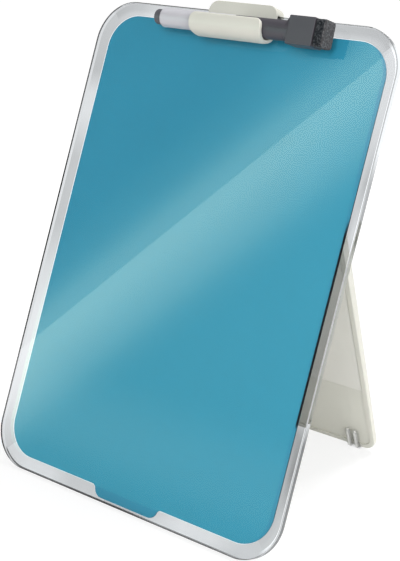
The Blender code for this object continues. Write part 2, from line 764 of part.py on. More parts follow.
def holder_outline():
    """Side profile of the holder: rear grip, top bridge, back plate, trough and front wall."""
    depth = PEN_DEPTH
    height = -TROUGH_DROP
    outer = CHANNEL_RADIUS + HOLDER_FRONT_WALL
    plate = -SEAT_GAP - HOLDER_BACK_PLATE
    wall_top = height + TROUGH_WALL_RISE
    lip = HOLDER_FRONT_WALL / 2
    rear_inner = GLASS_THICKNESS + SEAT_GAP
    rear_outer = rear_inner + HOLDER_REAR_WALL
    back_low = height - math.sqrt(outer**2 - (depth + SEAT_GAP) ** 2)
    back_angle = math.degrees(math.atan2(back_low - height, -SEAT_GAP - depth))
    top = HOLDER_TAB_RISE + CUT_OVERRUN
    points = [(plate, top)]
    points += arc((depth, height), CHANNEL_RADIUS, 0, -180, CORNER_STEPS)
    points += arc((depth - CHANNEL_RADIUS - lip, wall_top - lip), lip, 0, 180, SMALL_ARC_STEPS)
    points += arc((depth, height), outer, -180, back_angle, CORNER_STEPS)
    points += [
        (-SEAT_GAP, SEAT_GAP),
        (rear_inner, SEAT_GAP),
        (rear_inner, -HOLDER_REAR_GRIP),
        (rear_outer, -HOLDER_REAR_GRIP),
        (rear_outer, top),
    ]
    return points


def corner_cutter(name, corner, radius, side, near, far, parent):
    """Block that rounds one corner of a plate, at corner, on the left (-1) or the right (1)."""
    x, z = corner
    centre = (x - side * radius, z - radius)
    reach = radius + CUT_OVERRUN
    sweep = (0, 90) if side > 0 else (180, 90)
    outline = arc(centre, radius, *sweep, SMALL_ARC_STEPS)
    outline += [
        (centre[0], centre[1] + reach),
        (centre[0] + side * reach, centre[1] + reach),
        (centre[0] + side * reach, centre[1]),
    ]
    return add_object(name, front_plate(name, outline, near, far), cutters, parent)


def holder_front(half, bottom):
    """Front outline of the holder: a tab with rounded corners over a slightly wider trough."""
    tab = HOLDER_TAB_WIDTH / 2
    shelf = -TROUGH_DROP / 2
    tab_centre = (tab - HOLDER_TAB_RADIUS, HOLDER_TAB_RISE - HOLDER_TAB_RADIUS)
    low_centre = (half - TROUGH_CORNER_RADIUS, bottom + TROUGH_CORNER_RADIUS)
    points = arc(tab_centre, HOLDER_TAB_RADIUS, 0, 90, CORNER_STEPS)
    points += arc((-tab_centre[0], tab_centre[1]), HOLDER_TAB_RADIUS, 90, 180, CORNER_STEPS)
    points += [(-tab, shelf), (-half, shelf)]
    points += arc((-low_centre[0], low_centre[1]), TROUGH_CORNER_RADIUS, 180, 270, CORNER_STEPS)
    points += arc(low_centre, TROUGH_CORNER_RADIUS, 270, 360, CORNER_STEPS)
    points += [(half, shelf), (tab, shelf)]
    return points


def make_pen_holder(seat):
    """Holder that grips the board's upper edge and carries the marker in a round-ended trough."""
    half = HOLDER_WIDTH / 2
    front = PEN_DEPTH - CHANNEL_RADIUS - HOLDER_FRONT_WALL - CUT_OVERRUN
    rear = GLASS_THICKNESS + SEAT_GAP + HOLDER_REAR_WALL + CUT_OVERRUN
    bottom = -TROUGH_DROP - CHANNEL_RADIUS - HOLDER_FRONT_WALL - SEAT_GAP
    reach = half + CUT_OVERRUN
    mesh = side_profile("pen_holder", holder_outline(), -reach, reach)
    holder = add_object("pen_holder", mesh, parts, seat)
    mesh = front_plate("holder_blank", holder_front(half, bottom), front, rear)
    blank = add_object("holder_blank", mesh, cutters, seat)
    combine(holder, [blank], "INTERSECT")
    wall_top = -TROUGH_DROP + TROUGH_WALL_RISE
    corners = []
    for side in (-1, 1):
        corner = (side * half, wall_top)
        corners.append(
            corner_cutter("wall_corner", corner, TROUGH_CORNER_RADIUS, side, front, PEN_DEPTH, seat)
        )
    combine(holder, corners, "DIFFERENCE")
    bevel(holder, HOLDER_EDGE_BEVEL, 1)
    finish(holder, CREAM, 0.35)


def make_marker(pen):
    """Marker along X, with its shoulder at the frame's origin: barrel, plug, core, nose and nib."""
    end = -MARKER_LENGTH
    lip = arc((end + MARKER_LIP_RADIUS, MARKER_RADIUS - MARKER_LIP_RADIUS), MARKER_LIP_RADIUS, 90, 180, 5)
    barrel_profile = [(MARKER_NECK_LENGTH, MARKER_BORE_RADIUS), (MARKER_NECK_LENGTH, NECK_RADIUS)]
    barrel_profile += [(0, NECK_RADIUS), (0, MARKER_RADIUS)]
    barrel_profile += lip
    barrel_profile += [(end, MARKER_BORE_RADIUS)]
    barrel = turned_part("marker_barrel", barrel_profile, pen, closed=True)
    finish(barrel, PALE_GREY, 0.3)

    start = end - SEAT_GAP
    stem_end = end + TAIL_STEM_LENGTH
    cap_round = arc(
        (start - TAIL_LENGTH + TAIL_ROUND, TAIL_RADIUS - TAIL_ROUND), TAIL_ROUND, 90, 180, 5
    )
    plug_profile = [(stem_end, 0), (stem_end, CORE_RADIUS), (start, CORE_RADIUS), (start, TAIL_RADIUS)]
    plug_profile += cap_round
    plug_profile += [(start - TAIL_LENGTH, 0)]
    plug = turned_part("marker_tail_plug", plug_profile, pen)
    finish(plug, DARK_GREY, 0.4)

    nose_back = MARKER_NECK_LENGTH - NOSE_STEM_LENGTH
    core_profile = [
        (nose_back - SEAT_GAP, 0),
        (nose_back - SEAT_GAP, CORE_RADIUS),
        (stem_end + SEAT_GAP, CORE_RADIUS),
        (stem_end + SEAT_GAP, 0),
    ]
    core = turned_part("ink_reservoir", core_profile, pen)
    finish(core, INK_BLACK, 0.9)

    flange = MARKER_NECK_LENGTH + SEAT_GAP
    cone = flange + NOSE_FLANGE_LENGTH
    tip = cone + NOSE_CONE_LENGTH
    nose_profile = [
        (tip, NIB_BORE_RADIUS),
        (tip, NOSE_TIP_RADIUS),
        (cone, NECK_RADIUS),
        (flange, NECK_RADIUS),
        (flange, CORE_RADIUS),
        (nose_back, CORE_RADIUS),
        (nose_back, NIB_BORE_RADIUS),
    ]
    nose = turned_part("marker_nose", nose_profile, pen, closed=True)
    finish(nose, DARK_GREY, 0.4)

    nib_profile = [
        (tip + NIB_PROUD, 0),
        (tip + NIB_PROUD, NIB_TIP_RADIUS),
        (tip + NIB_PROUD - NIB_RADIUS, NIB_RADIUS),
        (nose_back, NIB_RADIUS),
        (nose_back, 0),
    ]
    nib = turned_part("marker_nib", nib_profile, pen, PIN_STEPS)
    finish(nib, INK_BLACK, 0.95)


def shoulder_mesh(name, radius, start, end):
    """Loft from the cap's round tube to the edge of its box, as the hull of the two sections."""
    mesh = bpy.data.meshes.new(name)
    work = bmesh.new()
    for step in range(ROUND_STEPS):
        angle = 2 * math.pi * step / ROUND_STEPS
        work.verts.new((start, radius * math.cos(angle), radius * math.sin(angle)))
    reach = CAP_BOX_DEPTH / 2 - CAP_BOX_BEVEL - SEAT_GAP
    rise = CAP_BOX_HEIGHT / 2 - CAP_BOX_BEVEL - SEAT_GAP
    for depth in (-reach, reach):
        for height in (CAP_BOX_RISE - rise, CAP_BOX_RISE + rise):
            work.verts.new((end, depth, height))
            work.verts.new((end + CAP_BOX_BEVEL, depth, height))
    hull = bmesh.ops.convex_hull(work, input=work.verts)
    bmesh.ops.delete(work, geom=hull["geom_interior"], context="VERTS")
    bmesh.ops.recalc_face_normals(work, faces=work.faces)
    work.to_mesh(mesh)
    work.free()
    smooth(mesh)
    return mesh


def make_cap(cap):
    """Cap with a round tube that widens into a box, and the felt eraser that the box holds."""
    start = SEAT_GAP
    box_start = CAP_LENGTH
    box_end = box_start + CAP_BOX_LENGTH
    half_depth = CAP_BOX_DEPTH / 2
    half_height = CAP_BOX_HEIGHT / 2
    low = CAP_BOX_RISE - half_height
    high = CAP_BOX_RISE + half_height
    tube_end = box_start + 2 * CAP_BOX_BEVEL
    tube = add_object("cap_shell", rod_mesh("cap_shell", CAP_RADIUS, start, tube_end), parts, cap)
    shoulder = add_object(
        "cap_shoulder",
        shoulder_mesh("cap_shoulder", CAP_RADIUS - SEAT_GAP, CAP_TUBE_LENGTH, box_start),
        cutters,
        cap,
    )
    block = add_object(
        "cap_block",
        box_mesh("cap_block", (box_start, -half_depth, low), (box_end, half_depth, high)),
        cutters,
        cap,
    )
    bevel(block, CAP_BOX_BEVEL)
    combine(tube, [shoulder, block], "UNION")
    bore = add_object(
        "cap_bore",
        rod_mesh("cap_bore", CAP_BORE_RADIUS, start - CUT_OVERRUN, start + CAP_BORE_LENGTH),
        cutters,
        cap,
    )
    socket_depth = half_depth - SOCKET_WALL
    socket_low = low + SOCKET_WALL
    socket_high = high - SOCKET_WALL
    socket = add_object(
        "eraser_socket",
        box_mesh(
            "eraser_socket",
            (box_end - SOCKET_DEPTH, -socket_depth, socket_low),
            (box_end + CUT_OVERRUN, socket_depth, socket_high),
        ),
        cutters,
        cap,
    )
    combine(tube, [bore, socket], "DIFFERENCE")
    finish(tube, DARK_GREY, 0.4)

    pad_depth = half_depth - FELT_INSET
    pad_start = box_end + SEAT_GAP
    pad_end = pad_start + FELT_LENGTH
    pad = rounded_outline(
        pad_depth,
        low + FELT_INSET,
        high - FELT_INSET,
        FELT_CORNER_RADIUS,
        FELT_CORNER_RADIUS,
        SMALL_ARC_STEPS,
    )
    felt = add_object("eraser_felt", side_profile("eraser_felt", pad, pad_start, pad_end), parts, cap)
    bevel(felt, FELT_BEVEL)
    stem = add_object(
        "felt_stem",
        box_mesh(
            "felt_stem",
            (pad_start - FELT_STEM_LENGTH, -socket_depth + SEAT_GAP, socket_low + SEAT_GAP),
            (pad_start + FELT_LENGTH / 2, socket_depth - SEAT_GAP, socket_high - SEAT_GAP),
        ),
        cutters,
        cap,
    )
    combine(felt, [stem], "UNION")
    finish(felt, FELT_GREY, 1.0)


def centre_on_table(root):
    """Slide the whole object so that the origin is under the middle of its box."""
    bpy.context.view_layer.update()
    graph = bpy.context.evaluated_depsgraph_get()
    low = Vector((math.inf, math.inf, math.inf))
    high = -low
    for part in parts.objects:
        if part.type != "MESH":
            continue
        solid = part.evaluated_get(graph)
        for vertex in solid.data.vertices:
            place = solid.matrix_world @ vertex.co
            for axis in range(3):
                low[axis] = min(low[axis], place[axis])
                high[axis] = max(high[axis], place[axis])
    middle = (low + high) / 2
    root.location = (-middle.x, -middle.y, -low.z)
    bpy.context.view_layer.update()


def main():
    """Build every part in its frame and stand the object on the table."""
    clear_scene()
    bpy.context.scene.collection.children.link(parts)
    bpy.context.scene.collection.children.link(cutters)
    root = add_frame("table_frame")
    board = add_frame("board_frame", root, (0, 0, BOARD_Z), -LEAN)
    leg = add_frame("leg_frame", root, (0, HINGE_Y, HINGE_Z), SLOPE)
    seat = add_frame("holder_frame", board, (0, 0, GLASS_HEIGHT))
    pen = add_frame("marker_frame", seat, (MARKER_REST_OFFSET, PEN_DEPTH, -TROUGH_DROP))
    cap = add_frame("cap_frame", pen, tilt=math.radians(CAP_ROLL))
    make_glass_sheet(board)
    make_colour_panel(board)
    make_tapes(board)
    make_rear_cover(board)
    make_front_foot(board)
    make_leg_shell(leg)
    make_leg_liner(leg)
    make_leg_feet(leg)
    make_hinge_pin(leg)
    make_pen_holder(seat)
    make_marker(pen)
    make_cap(cap)
    centre_on_table(root)


main()
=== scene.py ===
"""Finishes, lights and camera for a desktop glass whiteboard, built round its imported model."""

import json
import logging
import math
from dataclasses import dataclass
from enum import Enum

import bmesh
import bpy
from mathutils import Matrix, Vector


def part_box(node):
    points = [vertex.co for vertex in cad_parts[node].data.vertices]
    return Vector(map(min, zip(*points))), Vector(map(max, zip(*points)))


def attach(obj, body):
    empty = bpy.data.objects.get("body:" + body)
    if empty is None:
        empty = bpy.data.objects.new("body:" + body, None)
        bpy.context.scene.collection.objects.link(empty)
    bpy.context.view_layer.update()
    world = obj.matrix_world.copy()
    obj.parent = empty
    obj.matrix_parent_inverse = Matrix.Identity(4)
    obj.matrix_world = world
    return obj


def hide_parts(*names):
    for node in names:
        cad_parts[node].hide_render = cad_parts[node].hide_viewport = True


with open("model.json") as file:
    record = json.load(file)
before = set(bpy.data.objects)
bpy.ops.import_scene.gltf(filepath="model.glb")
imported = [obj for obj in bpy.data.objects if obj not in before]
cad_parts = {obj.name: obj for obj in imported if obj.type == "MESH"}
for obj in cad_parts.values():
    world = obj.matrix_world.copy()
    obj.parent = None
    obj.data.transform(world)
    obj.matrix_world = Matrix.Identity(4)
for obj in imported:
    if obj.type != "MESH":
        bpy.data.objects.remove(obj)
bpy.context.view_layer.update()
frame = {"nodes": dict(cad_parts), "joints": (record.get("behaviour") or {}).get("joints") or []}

log = logging.getLogger("whiteboard")

Colour = tuple[float, float, float]
Stops = tuple[tuple[float, float], ...]

MM = 0.001
WHITE = (1.0, 1.0, 1.0)
WELD = 0.002 * MM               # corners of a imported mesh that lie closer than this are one
PANEL_CORNER = 21.4 * MM        # radius of the panel's rounded corners
LEG_SPAN = (84 * MM, 206 * MM)  # heights on the board between which the leg is behind the panel's edge
CAMERA_PLACE = (0.4585, -0.58386, 0.393226)  # worked out from the outlines in the photograph


class Body(Enum):
    """The bodies that the joints move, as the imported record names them."""

    BOARD = "board"
    LEG = "leg"
    HOLDER = "holder"
    MARKER = "marker"
    CAP = "cap"


@dataclass(frozen=True)
class BoardAxes:
    """The leaning board's own axes: X across, Y into the board, Z up its face.

    The origin is the middle of the lower edge of the glass's front face.
    """

    matrix: Matrix
    width: float
    thickness: float
    height: float
    rim: float

    @classmethod
    def from_nodes(cls, glass: str, panel: str, lift_joint: str) -> "BoardAxes":
        """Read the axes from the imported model.

        Args:
            glass: Node of the clear sheet.
            panel: Node of the coloured panel behind it.
            lift_joint: Slide joint whose axis runs up the board.

        Returns:
            The board's axes and sizes.
        """
        joint = next(j for j in frame["joints"] if j["name"] == lift_joint)
        up = Vector(joint["axis"]).normalized()
        across = Vector((1, 0, 0))
        back = up.cross(across)
        turn = Matrix((across, back, up)).to_4x4()
        points = [turn @ v.co for v in frame["nodes"][glass].data.vertices]
        low = Vector([min(p[i] for p in points) for i in range(3)])
        high = Vector([max(p[i] for p in points) for i in range(3)])
        origin = turn.transposed() @ Vector(((low.x + high.x) / 2, low.y, low.z))
        panel_low, panel_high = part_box(panel)
        size = high - low
        return cls(
            matrix=Matrix.Translation(origin) @ turn.transposed(),
            width=size.x,
            thickness=size.y,
            height=size.z,
            rim=(size.x - (panel_high.x - panel_low.x)) / 2,
        )

    def outside(
        self, graph: "Graph", x: object, z: object, inset: float, corner: float
    ) -> bpy.types.NodeSocket:
        """Measure how far a place lies outside the sheet's outline, drawn in.

        Args:
            graph: The material's graph.
            x: Distance to the right of the board's middle, in metres.
            z: Height above the board's lower edge, in metres.
            inset: How far the outline is drawn in, in metres.
            corner: Radius of its corners then, in metres.

        Returns:
            The distance in metres, below 0 inside the outline.
        """
        half_x = self.width / 2 - inset - corner
        half_z = self.height / 2 - inset - corner
        over_x = graph.math("SUBTRACT", graph.math("ABSOLUTE", x), half_x)
        middle = graph.math("SUBTRACT", z, self.height / 2)
        over_z = graph.math("SUBTRACT", graph.math("ABSOLUTE", middle), half_z)
        overs = [graph.math("MAXIMUM", over, 0.0) for over in (over_x, over_z)]
        squares = [graph.math("POWER", over, 2.0) for over in overs]
        return graph.math("SUBTRACT", graph.math("SQRT", graph.math("ADD", *squares)), corner)


class Graph:
    """Short calls that lay and link the shader nodes of one material or world."""

    def __init__(self, tree: bpy.types.NodeTree) -> None:
        """Start from an empty tree."""
        self.tree = tree
        self.tree.nodes.clear()

    def add(self, kind: str, **values: object) -> bpy.types.Node:
        """Add a node.

        Args:
            kind: The node's type, without the ShaderNode that it starts with.
            **values: Properties of the node, by name.

        Returns:
            The new node.
        """
        node = self.tree.nodes.new("ShaderNode" + kind)
        for name, value in values.items():
            setattr(node, name, value)
        return node

    def feed(self, socket: bpy.types.NodeSocket, value: object) -> None:
        """Link an output to a socket, or set the socket to a plain value.

        Args:
            socket: The input to feed.
            value: An output, a number or a colour.
        """
        if isinstance(value, bpy.types.NodeSocket):
            self.tree.links.new(value, socket)
        elif isinstance(value, tuple) and len(value) == 3 and socket.type == "RGBA":
            socket.default_value = (*value, 1.0)
        else:
            socket.default_value = value

    def math(self, operation: str, *values: object, clamp: bool = False) -> bpy.types.NodeSocket:
        """Lay a Math node.

        Args:
            operation: What it does.
            *values: The one to three values that it works on.
            clamp: Whether its result is held between 0 and 1.

        Returns:
            The node's output.
        """
        node = self.add("Math", operation=operation, use_clamp=clamp)
        for socket, value in zip(node.inputs, values):
            self.feed(socket, value)
        return node.outputs[0]

    def step(
        self, value: object, start: float, end: float, low: float = 0.0, high: float = 1.0
    ) -> bpy.types.NodeSocket:
        """Lay a smooth rise or fall.

        Args:
            value: What it follows.
            start: The value up to which the result is low.
            end: The value from which the result is high.
            low: Result before start.
            high: Result after end.

        Returns:
            The node's output.
        """
        node = self.add("MapRange", interpolation_type="SMOOTHSTEP")
        for name, number in zip(("Value", "From Min", "From Max", "To Min", "To Max"),
                                (value, start, end, low, high)):
            self.feed(node.inputs[name], number)
        return node.outputs["Result"]

    def between(self, kind: str, factor: object, first: object, second: object) -> bpy.types.NodeSocket:
        """Lay a Mix node.

        Args:
            kind: RGBA for colours or FLOAT for numbers.
            factor: 0 for the first, 1 for the second.
            first: One end.
            second: The other end.

        Returns:
            The node's output.
        """
        node = self.add("Mix", data_type=kind)
        for name, value in (("Factor", factor), ("A", first), ("B", second)):
            self.feed(node.inputs[name], value)
        return node.outputs["Result"]

    def mix(self, factor: object, first: object, second: object) -> bpy.types.NodeSocket:
        """Return a colour between first and second."""
        return self.between("RGBA", factor, first, second)

    def blend(self, factor: object, first: object, second: object) -> bpy.types.NodeSocket:
        """Return a number between first and second."""
        return self.between("FLOAT", factor, first, second)

    def split(self) -> tuple[bpy.types.NodeSocket, ...]:
        """Part a place on the object into its coordinates.

        Returns:
            Its own x, y and z, in metres.
        """
        node = self.add("SeparateXYZ")
        self.feed(node.inputs[0], self.place())
        return tuple(node.outputs)

    def place(self, stretch: Colour = WHITE) -> bpy.types.NodeSocket:
        """Find a place on the object.

        Args:
            stretch: How much faster a pattern runs along each axis.

        Returns:
            The object's own coordinates, stretched so.
        """
        coordinates = self.add("TexCoord").outputs["Object"]
        if stretch == WHITE:
            return coordinates
        mapping = self.add("Mapping")
        self.feed(mapping.inputs["Vector"], coordinates)
        mapping.inputs["Scale"].default_value = stretch
        return mapping.outputs["Vector"]

    def noise(self, per_metre: float, detail: float, stretch: Colour = WHITE) -> bpy.types.NodeSocket:
        """Lay soft noise.

        Args:
            per_metre: How many cells of it there are to the metre.
            detail: How many finer layers it has.
            stretch: How much faster it runs along each axis.

        Returns:
            The noise, from 0 to 1.
        """
        node = self.add("TexNoise")
        self.feed(node.inputs["Vector"], self.place(stretch))
        node.inputs["Scale"].default_value = per_metre
        node.inputs["Detail"].default_value = detail
        return node.outputs["Fac"]

    def bump(self, height: bpy.types.NodeSocket, depth: float) -> bpy.types.NodeSocket:
        """Lay a bump.

        Args:
            height: What it follows, from 0 to 1.
            depth: The height of 1, in metres.

        Returns:
            The bumped normal.
        """
        node = self.add("Bump")
        self.feed(node.inputs["Height"], height)
        node.inputs["Distance"].default_value = depth
        node.inputs["Strength"].default_value = 1.0
        return node.outputs["Normal"]

    def ramp(self, value: object, stops: Stops) -> bpy.types.NodeSocket:
        """Lay a ramp of levels.

        Args:
            value: What it follows, from 0 to 1.
            stops: Each stop's place and level.

        Returns:
            The level at value.
        """
        node = self.add("ValToRGB")
        self.feed(node.inputs["Fac"], value)
        steps = node.color_ramp.elements
        while len(steps) < len(stops):
            steps.new(0.5)
        for stop, (place, level) in zip(steps, stops):
            stop.position = place
            stop.color = (level, level, level, 1.0)
        return node.outputs["Color"]

    def end(self, kind: str, surface: bpy.types.NodeSocket) -> None:
        """Link what a surface is to a new output, OutputMaterial or OutputWorld."""
        self.feed(self.add(kind).inputs["Surface"], surface)


def empty_material(name: str) -> tuple[bpy.types.Material, Graph]:
    """Make a material without nodes.

    Args:
        name: Its name.

    Returns:
        The material and its graph.
    """
    material = bpy.data.materials.new(name)
    material.use_nodes = True
    return material, Graph(material.node_tree)


@dataclass(frozen=True)
class Finish:
    """What every finish shares: its name and a way to make an empty material."""

    name: str

    def start(self) -> tuple[bpy.types.Material, Graph, bpy.types.Node]:
        """Make the material with one Principled shader on its output.

        Returns:
            The material, its graph and the shader.
        """
        material, graph = empty_material(self.name)
        shader = graph.add("BsdfPrincipled")
        graph.end("OutputMaterial", shader.outputs["BSDF"])
        return material, graph, shader

    def build(self) -> bpy.types.Material:
        """Make the finish's material; each kind of finish lays its own nodes.

        Returns:
            The material.
        """
        return self.start()[0]


@dataclass(frozen=True)
class MouldedPlastic(Finish):
    """Moulded plastic: faint clouding of its colour, fine spark grain and uneven gloss."""

    colour: Colour
    roughness: float = 0.45
    grain: float = 0.02 * MM
    grain_per_metre: float = 2600.0
    cloud_share: float = 0.06
    cloud_per_metre: float = 45.0
    gloss_share: float = 0.10
    smear_per_metre: float = 160.0
    specular: float = 0.5

    def build(self) -> bpy.types.Material:
        """Lay the clouding, the grain and the gloss.

        Returns:
            The material.
        """
        material, graph, shader = self.start()
        cloud = graph.noise(self.cloud_per_metre, 3.0)
        dark = tuple(c * (1 - self.cloud_share) for c in self.colour)
        light = tuple(min(1.0, c * (1 + self.cloud_share)) for c in self.colour)
        graph.feed(shader.inputs["Base Color"], graph.mix(cloud, dark, light))
        grain = graph.noise(self.grain_per_metre, 2.0)
        smear = graph.noise(self.smear_per_metre, 2.0)
        low = self.roughness * (1 - self.gloss_share)
        high = self.roughness * (1 + self.gloss_share)
        graph.feed(shader.inputs["Roughness"], graph.blend(smear, low, high))
        graph.feed(shader.inputs["Normal"], graph.bump(grain, self.grain))
        shader.inputs["Specular IOR Level"].default_value = self.specular
        return material


@dataclass(frozen=True)
class PanelSheet(Finish):
    """Opaque blue sheet behind the glass, with its cut edge painted dark as shade, darkest in front of
    the leg.
    """

    colour: Colour
    edge_shade_colour: Colour
    shaded_edge: Colour
    half_width: float
    shaded_span: tuple[float, float] = LEG_SPAN
    cloud_share: float = 0.015

    def build(self) -> bpy.types.Material:
        """Lay the even blue, its faint clouding and the painted shade of its cut edge.

        Returns:
            The material.
        """
        material, graph, shader = self.start()
        cloud = graph.noise(18.0, 2.0)
        dark = tuple(c * (1 - self.cloud_share) for c in self.colour)
        light = tuple(c * (1 + self.cloud_share) for c in self.colour)
        face = graph.mix(cloud, dark, light)
        x, _, z = graph.split()
        cut = graph.math("GREATER_THAN", graph.math("ABSOLUTE", x), self.half_width)
        low, high = self.shaded_span
        above = graph.step(z, low - 2 * MM, low + 2 * MM)
        below = graph.step(z, high - 6 * MM, high + 6 * MM, 1.0, 0.0)
        shaded = graph.math("MULTIPLY", above, below)
        # Painted shade: the cut edge is dark teal, and near black where the leg stands behind it.
        edge = graph.mix(shaded, self.edge_shade_colour, self.shaded_edge)
        graph.feed(shader.inputs["Base Color"], graph.mix(cut, face, edge))
        graph.feed(shader.inputs["Roughness"], graph.blend(graph.noise(300.0, 2.0), 0.45, 0.55))
        shader.inputs["Specular IOR Level"].default_value = 0.2
        return material


class SheetFace(Enum):
    """Faces of the clear sheet, which each have a look of their own."""

    FRONT = "front"
    BACK = "back"
    EDGE = "edge"


@dataclass(frozen=True)
class ClearSheet(Finish):
    """Clear sheet whose rim and edges darken what is behind them, with painted light and shade:
    ramps paint the light and dark stretches that their bevels show in the room into its grey.

    The polish is a clear coat on the front. The rim's grey and painted shade lie on the back,
    beside the panel and its tab, so that the panel shows through unchanged. Rays from lamps pass.
    """

    axes: BoardAxes
    face: SheetFace
    corner: float
    edge_radius: float
    body_ior: float = 1.10
    coat_ior: float = 1.45
    coat_roughness: float = 0.015
    cool: Colour = (0.972, 0.988, 1.0)
    # Grey of the opaque strip that stands in as a painted highlight on the lower right bevel.
    bevel_highlight_colour: Colour = (0.47, 0.48, 0.50)
    # Span and level of the painted shade line along the panel's right edge.
    painted_leg_shade_span: tuple[float, float] = LEG_SPAN
    painted_leg_shade_level: float = 0.05
    inner_tone: tuple[float, float] = (3.4 * MM, 7.6 * MM)
    corner_blend: float = 3.0 * MM
    edge_strip: float = 2.0 * MM
    bevel_highlight_to: tuple[float, float] = (0.57, 0.64)
    tab_end: float = 1.5 * MM
    tab_half_widths: Stops = (
        (0.18, 19.3 * MM), (0.24, 21.7 * MM), (0.36, 23.2 * MM), (0.55, 24.5 * MM),
        (0.73, 25.1 * MM), (0.85, 25.6 * MM), (0.92, 26.2 * MM), (1.0, 28.0 * MM))

    def sided(
        self, graph: Graph, x: object, z: object, soft: float, values: tuple[object, ...]
    ) -> bpy.types.NodeSocket:
        """Pick the value of the side that a place of the rim belongs to.

        Args:
            graph: The material's graph.
            x: Distance to the right of the board's middle, in metres.
            z: Height above the board's lower edge, in metres.
            soft: Half the width over which the sides blend at the corners, in metres.
            values: Values for the left, right, top and bottom.

        Returns:
            The side's value.
        """
        left, right, top, bottom = values
        rim = self.axes.rim
        side = graph.math("SUBTRACT", graph.math("ABSOLUTE", x), self.axes.width / 2 - rim)
        above = graph.math("SUBTRACT", z, self.axes.height - rim)
        below = graph.math("SUBTRACT", rim, z)
        value = graph.blend(graph.step(x, -soft, soft), left, right)
        value = graph.blend(graph.step(graph.math("SUBTRACT", above, side), -soft, soft), value, top)
        return graph.blend(graph.step(graph.math("SUBTRACT", below, side), -soft, soft), value, bottom)

    def right_only(self, graph: Graph, x: object, z: object, soft: float) -> bpy.types.NodeSocket:
        """Return 1 on the right side of the rim and 0 on the others."""
        return self.sided(graph, x, z, soft, (0.0, 1.0, 0.0, 0.0))

    def shares(self, graph: Graph, x: object, z: object) -> tuple[bpy.types.NodeSocket, ...]:
        """Return how far along the board a place lies, and how far up it, from 0 to 1."""
        along = graph.math("DIVIDE", graph.math("ADD", x, self.axes.width / 2), self.axes.width)
        return along, graph.math("DIVIDE", z, self.axes.height)

    def rim_level(self, graph: Graph, x: object, z: object) -> bpy.types.NodeSocket:
        """Set how much light the rim passes, painted light and shade that stands in for what its bevels
        show in a room with a bright and a dark side.

        Args:
            graph: The material's graph.
            x: Distance to the right of the board's middle, in metres.
            z: Height above the board's lower edge, in metres.

        Returns:
            The level, from 0 to 1.
        """
        along, up = self.shares(graph, x, z)
        inside = graph.math("MULTIPLY", self.axes.outside(graph, x, z, 0.0, self.corner), -1.0)
        inward = graph.step(inside, *self.inner_tone)
        # Painted light and shade along each side of the rim, as levels up or along it.
        outer = graph.ramp(up, (
            (0.0, 0.62), (0.09, 0.60), (0.18, 0.33), (0.24, 0.40), (0.27, 0.60), (0.34, 0.60),
            (0.38, 0.535), (0.46, 0.545), (0.58, 0.585), (0.63, 0.64), (0.72, 0.43), (0.80, 0.60),
            (1.0, 0.67)))
        inner = graph.ramp(up, (
            (0.0, 0.62), (0.18, 0.50), (0.25, 0.44), (0.27, 0.60), (0.34, 0.60), (0.38, 0.545),
            (0.46, 0.555), (0.58, 0.585), (0.63, 0.52), (0.70, 0.55), (0.78, 0.57), (0.87, 0.63),
            (1.0, 0.63)))
        right = graph.blend(inward, outer, inner)
        left = graph.ramp(up, (
            (0.0, 0.64), (0.08, 0.64), (0.14, 0.71), (0.33, 0.77), (0.42, 0.69), (0.52, 0.53),
            (0.66, 0.54), (0.76, 0.75), (0.80, 0.74), (0.85, 0.54), (1.0, 0.64)))
        bottom = graph.ramp(along, (
            (0.0, 0.68), (0.13, 0.84), (0.22, 0.83), (0.30, 0.70), (0.58, 0.74), (0.70, 0.85),
            (0.80, 0.80), (0.90, 0.66), (1.0, 0.60)))
        # Painted shade along the top of the rim, a little lighter further in.
        painted_top_shade = graph.ramp(along, (
            (0.0, 0.50), (0.13, 0.60), (0.20, 0.73), (0.34, 0.73), (0.60, 0.61), (0.86, 0.54),
            (1.0, 0.44)))
        top = graph.math("MULTIPLY", painted_top_shade, graph.blend(inward, 1.0, 1.16))
        return self.sided(graph, x, z, 0.3 * MM, (left, right, top, bottom))

    def edge_level(self, graph: Graph, x: object, y: object, z: object) -> bpy.types.NodeSocket:
        """Set how much light the sheet's edge passes, which is less in a strip beside the front face; its
        ramps are painted light and shade along the edge.

        Args:
            graph: The material's graph.
            x: Distance to the right of the board's middle, in metres.
            y: Depth behind the front face, in metres.
            z: Height above the board's lower edge, in metres.

        Returns:
            The level, from 0 to 1.
        """
        along, up = self.shares(graph, x, z)
        # Painted light and shade on the strip beside the front face, for left, right, top and bottom.
        near = (
            graph.ramp(up, (
                (0.0, 0.02), (0.10, 0.02), (0.20, 0.02), (0.62, 0.02), (0.74, 0.12), (1.0, 0.14))),
            graph.ramp(up, ((0.0, 0.80), (0.60, 0.80), (0.66, 0.60), (0.74, 0.50), (1.0, 0.55))),
            graph.ramp(along, ((0.0, 0.12), (0.40, 0.14), (0.56, 0.62), (1.0, 0.66))),
            graph.ramp(along, (
                (0.0, 0.10), (0.22, 0.24), (0.32, 0.12), (0.50, 0.12), (0.62, 0.34), (0.80, 0.32),
                (1.0, 0.60))),
        )
        # Painted light and shade on the rest of the edge, for left, right, top and bottom.
        far = (
            0.72,
            graph.ramp(up, (
                (0.0, 0.33), (0.235, 0.29), (0.29, 1.0), (0.58, 1.0), (0.625, 0.38), (0.72, 0.44),
                (0.78, 0.94), (1.0, 0.96))),
            0.60,
            0.62,
        )
        soft = self.corner_blend
        bevel = 1.05 * self.edge_radius
        reach = self.sided(graph, x, z, soft, (self.edge_strip, bevel, self.edge_strip, self.edge_strip))
        strip = graph.math("LESS_THAN", y, reach)
        back = graph.math("GREATER_THAN", y, self.axes.thickness - bevel)
        back = graph.math("MULTIPLY", back, self.sided(graph, x, z, soft, (0.0, 0.0, 0.0, 1.0)))
        strip = graph.math("MAXIMUM", strip, back)
        return graph.blend(strip, self.sided(graph, x, z, soft, far), self.sided(graph, x, z, soft, near))

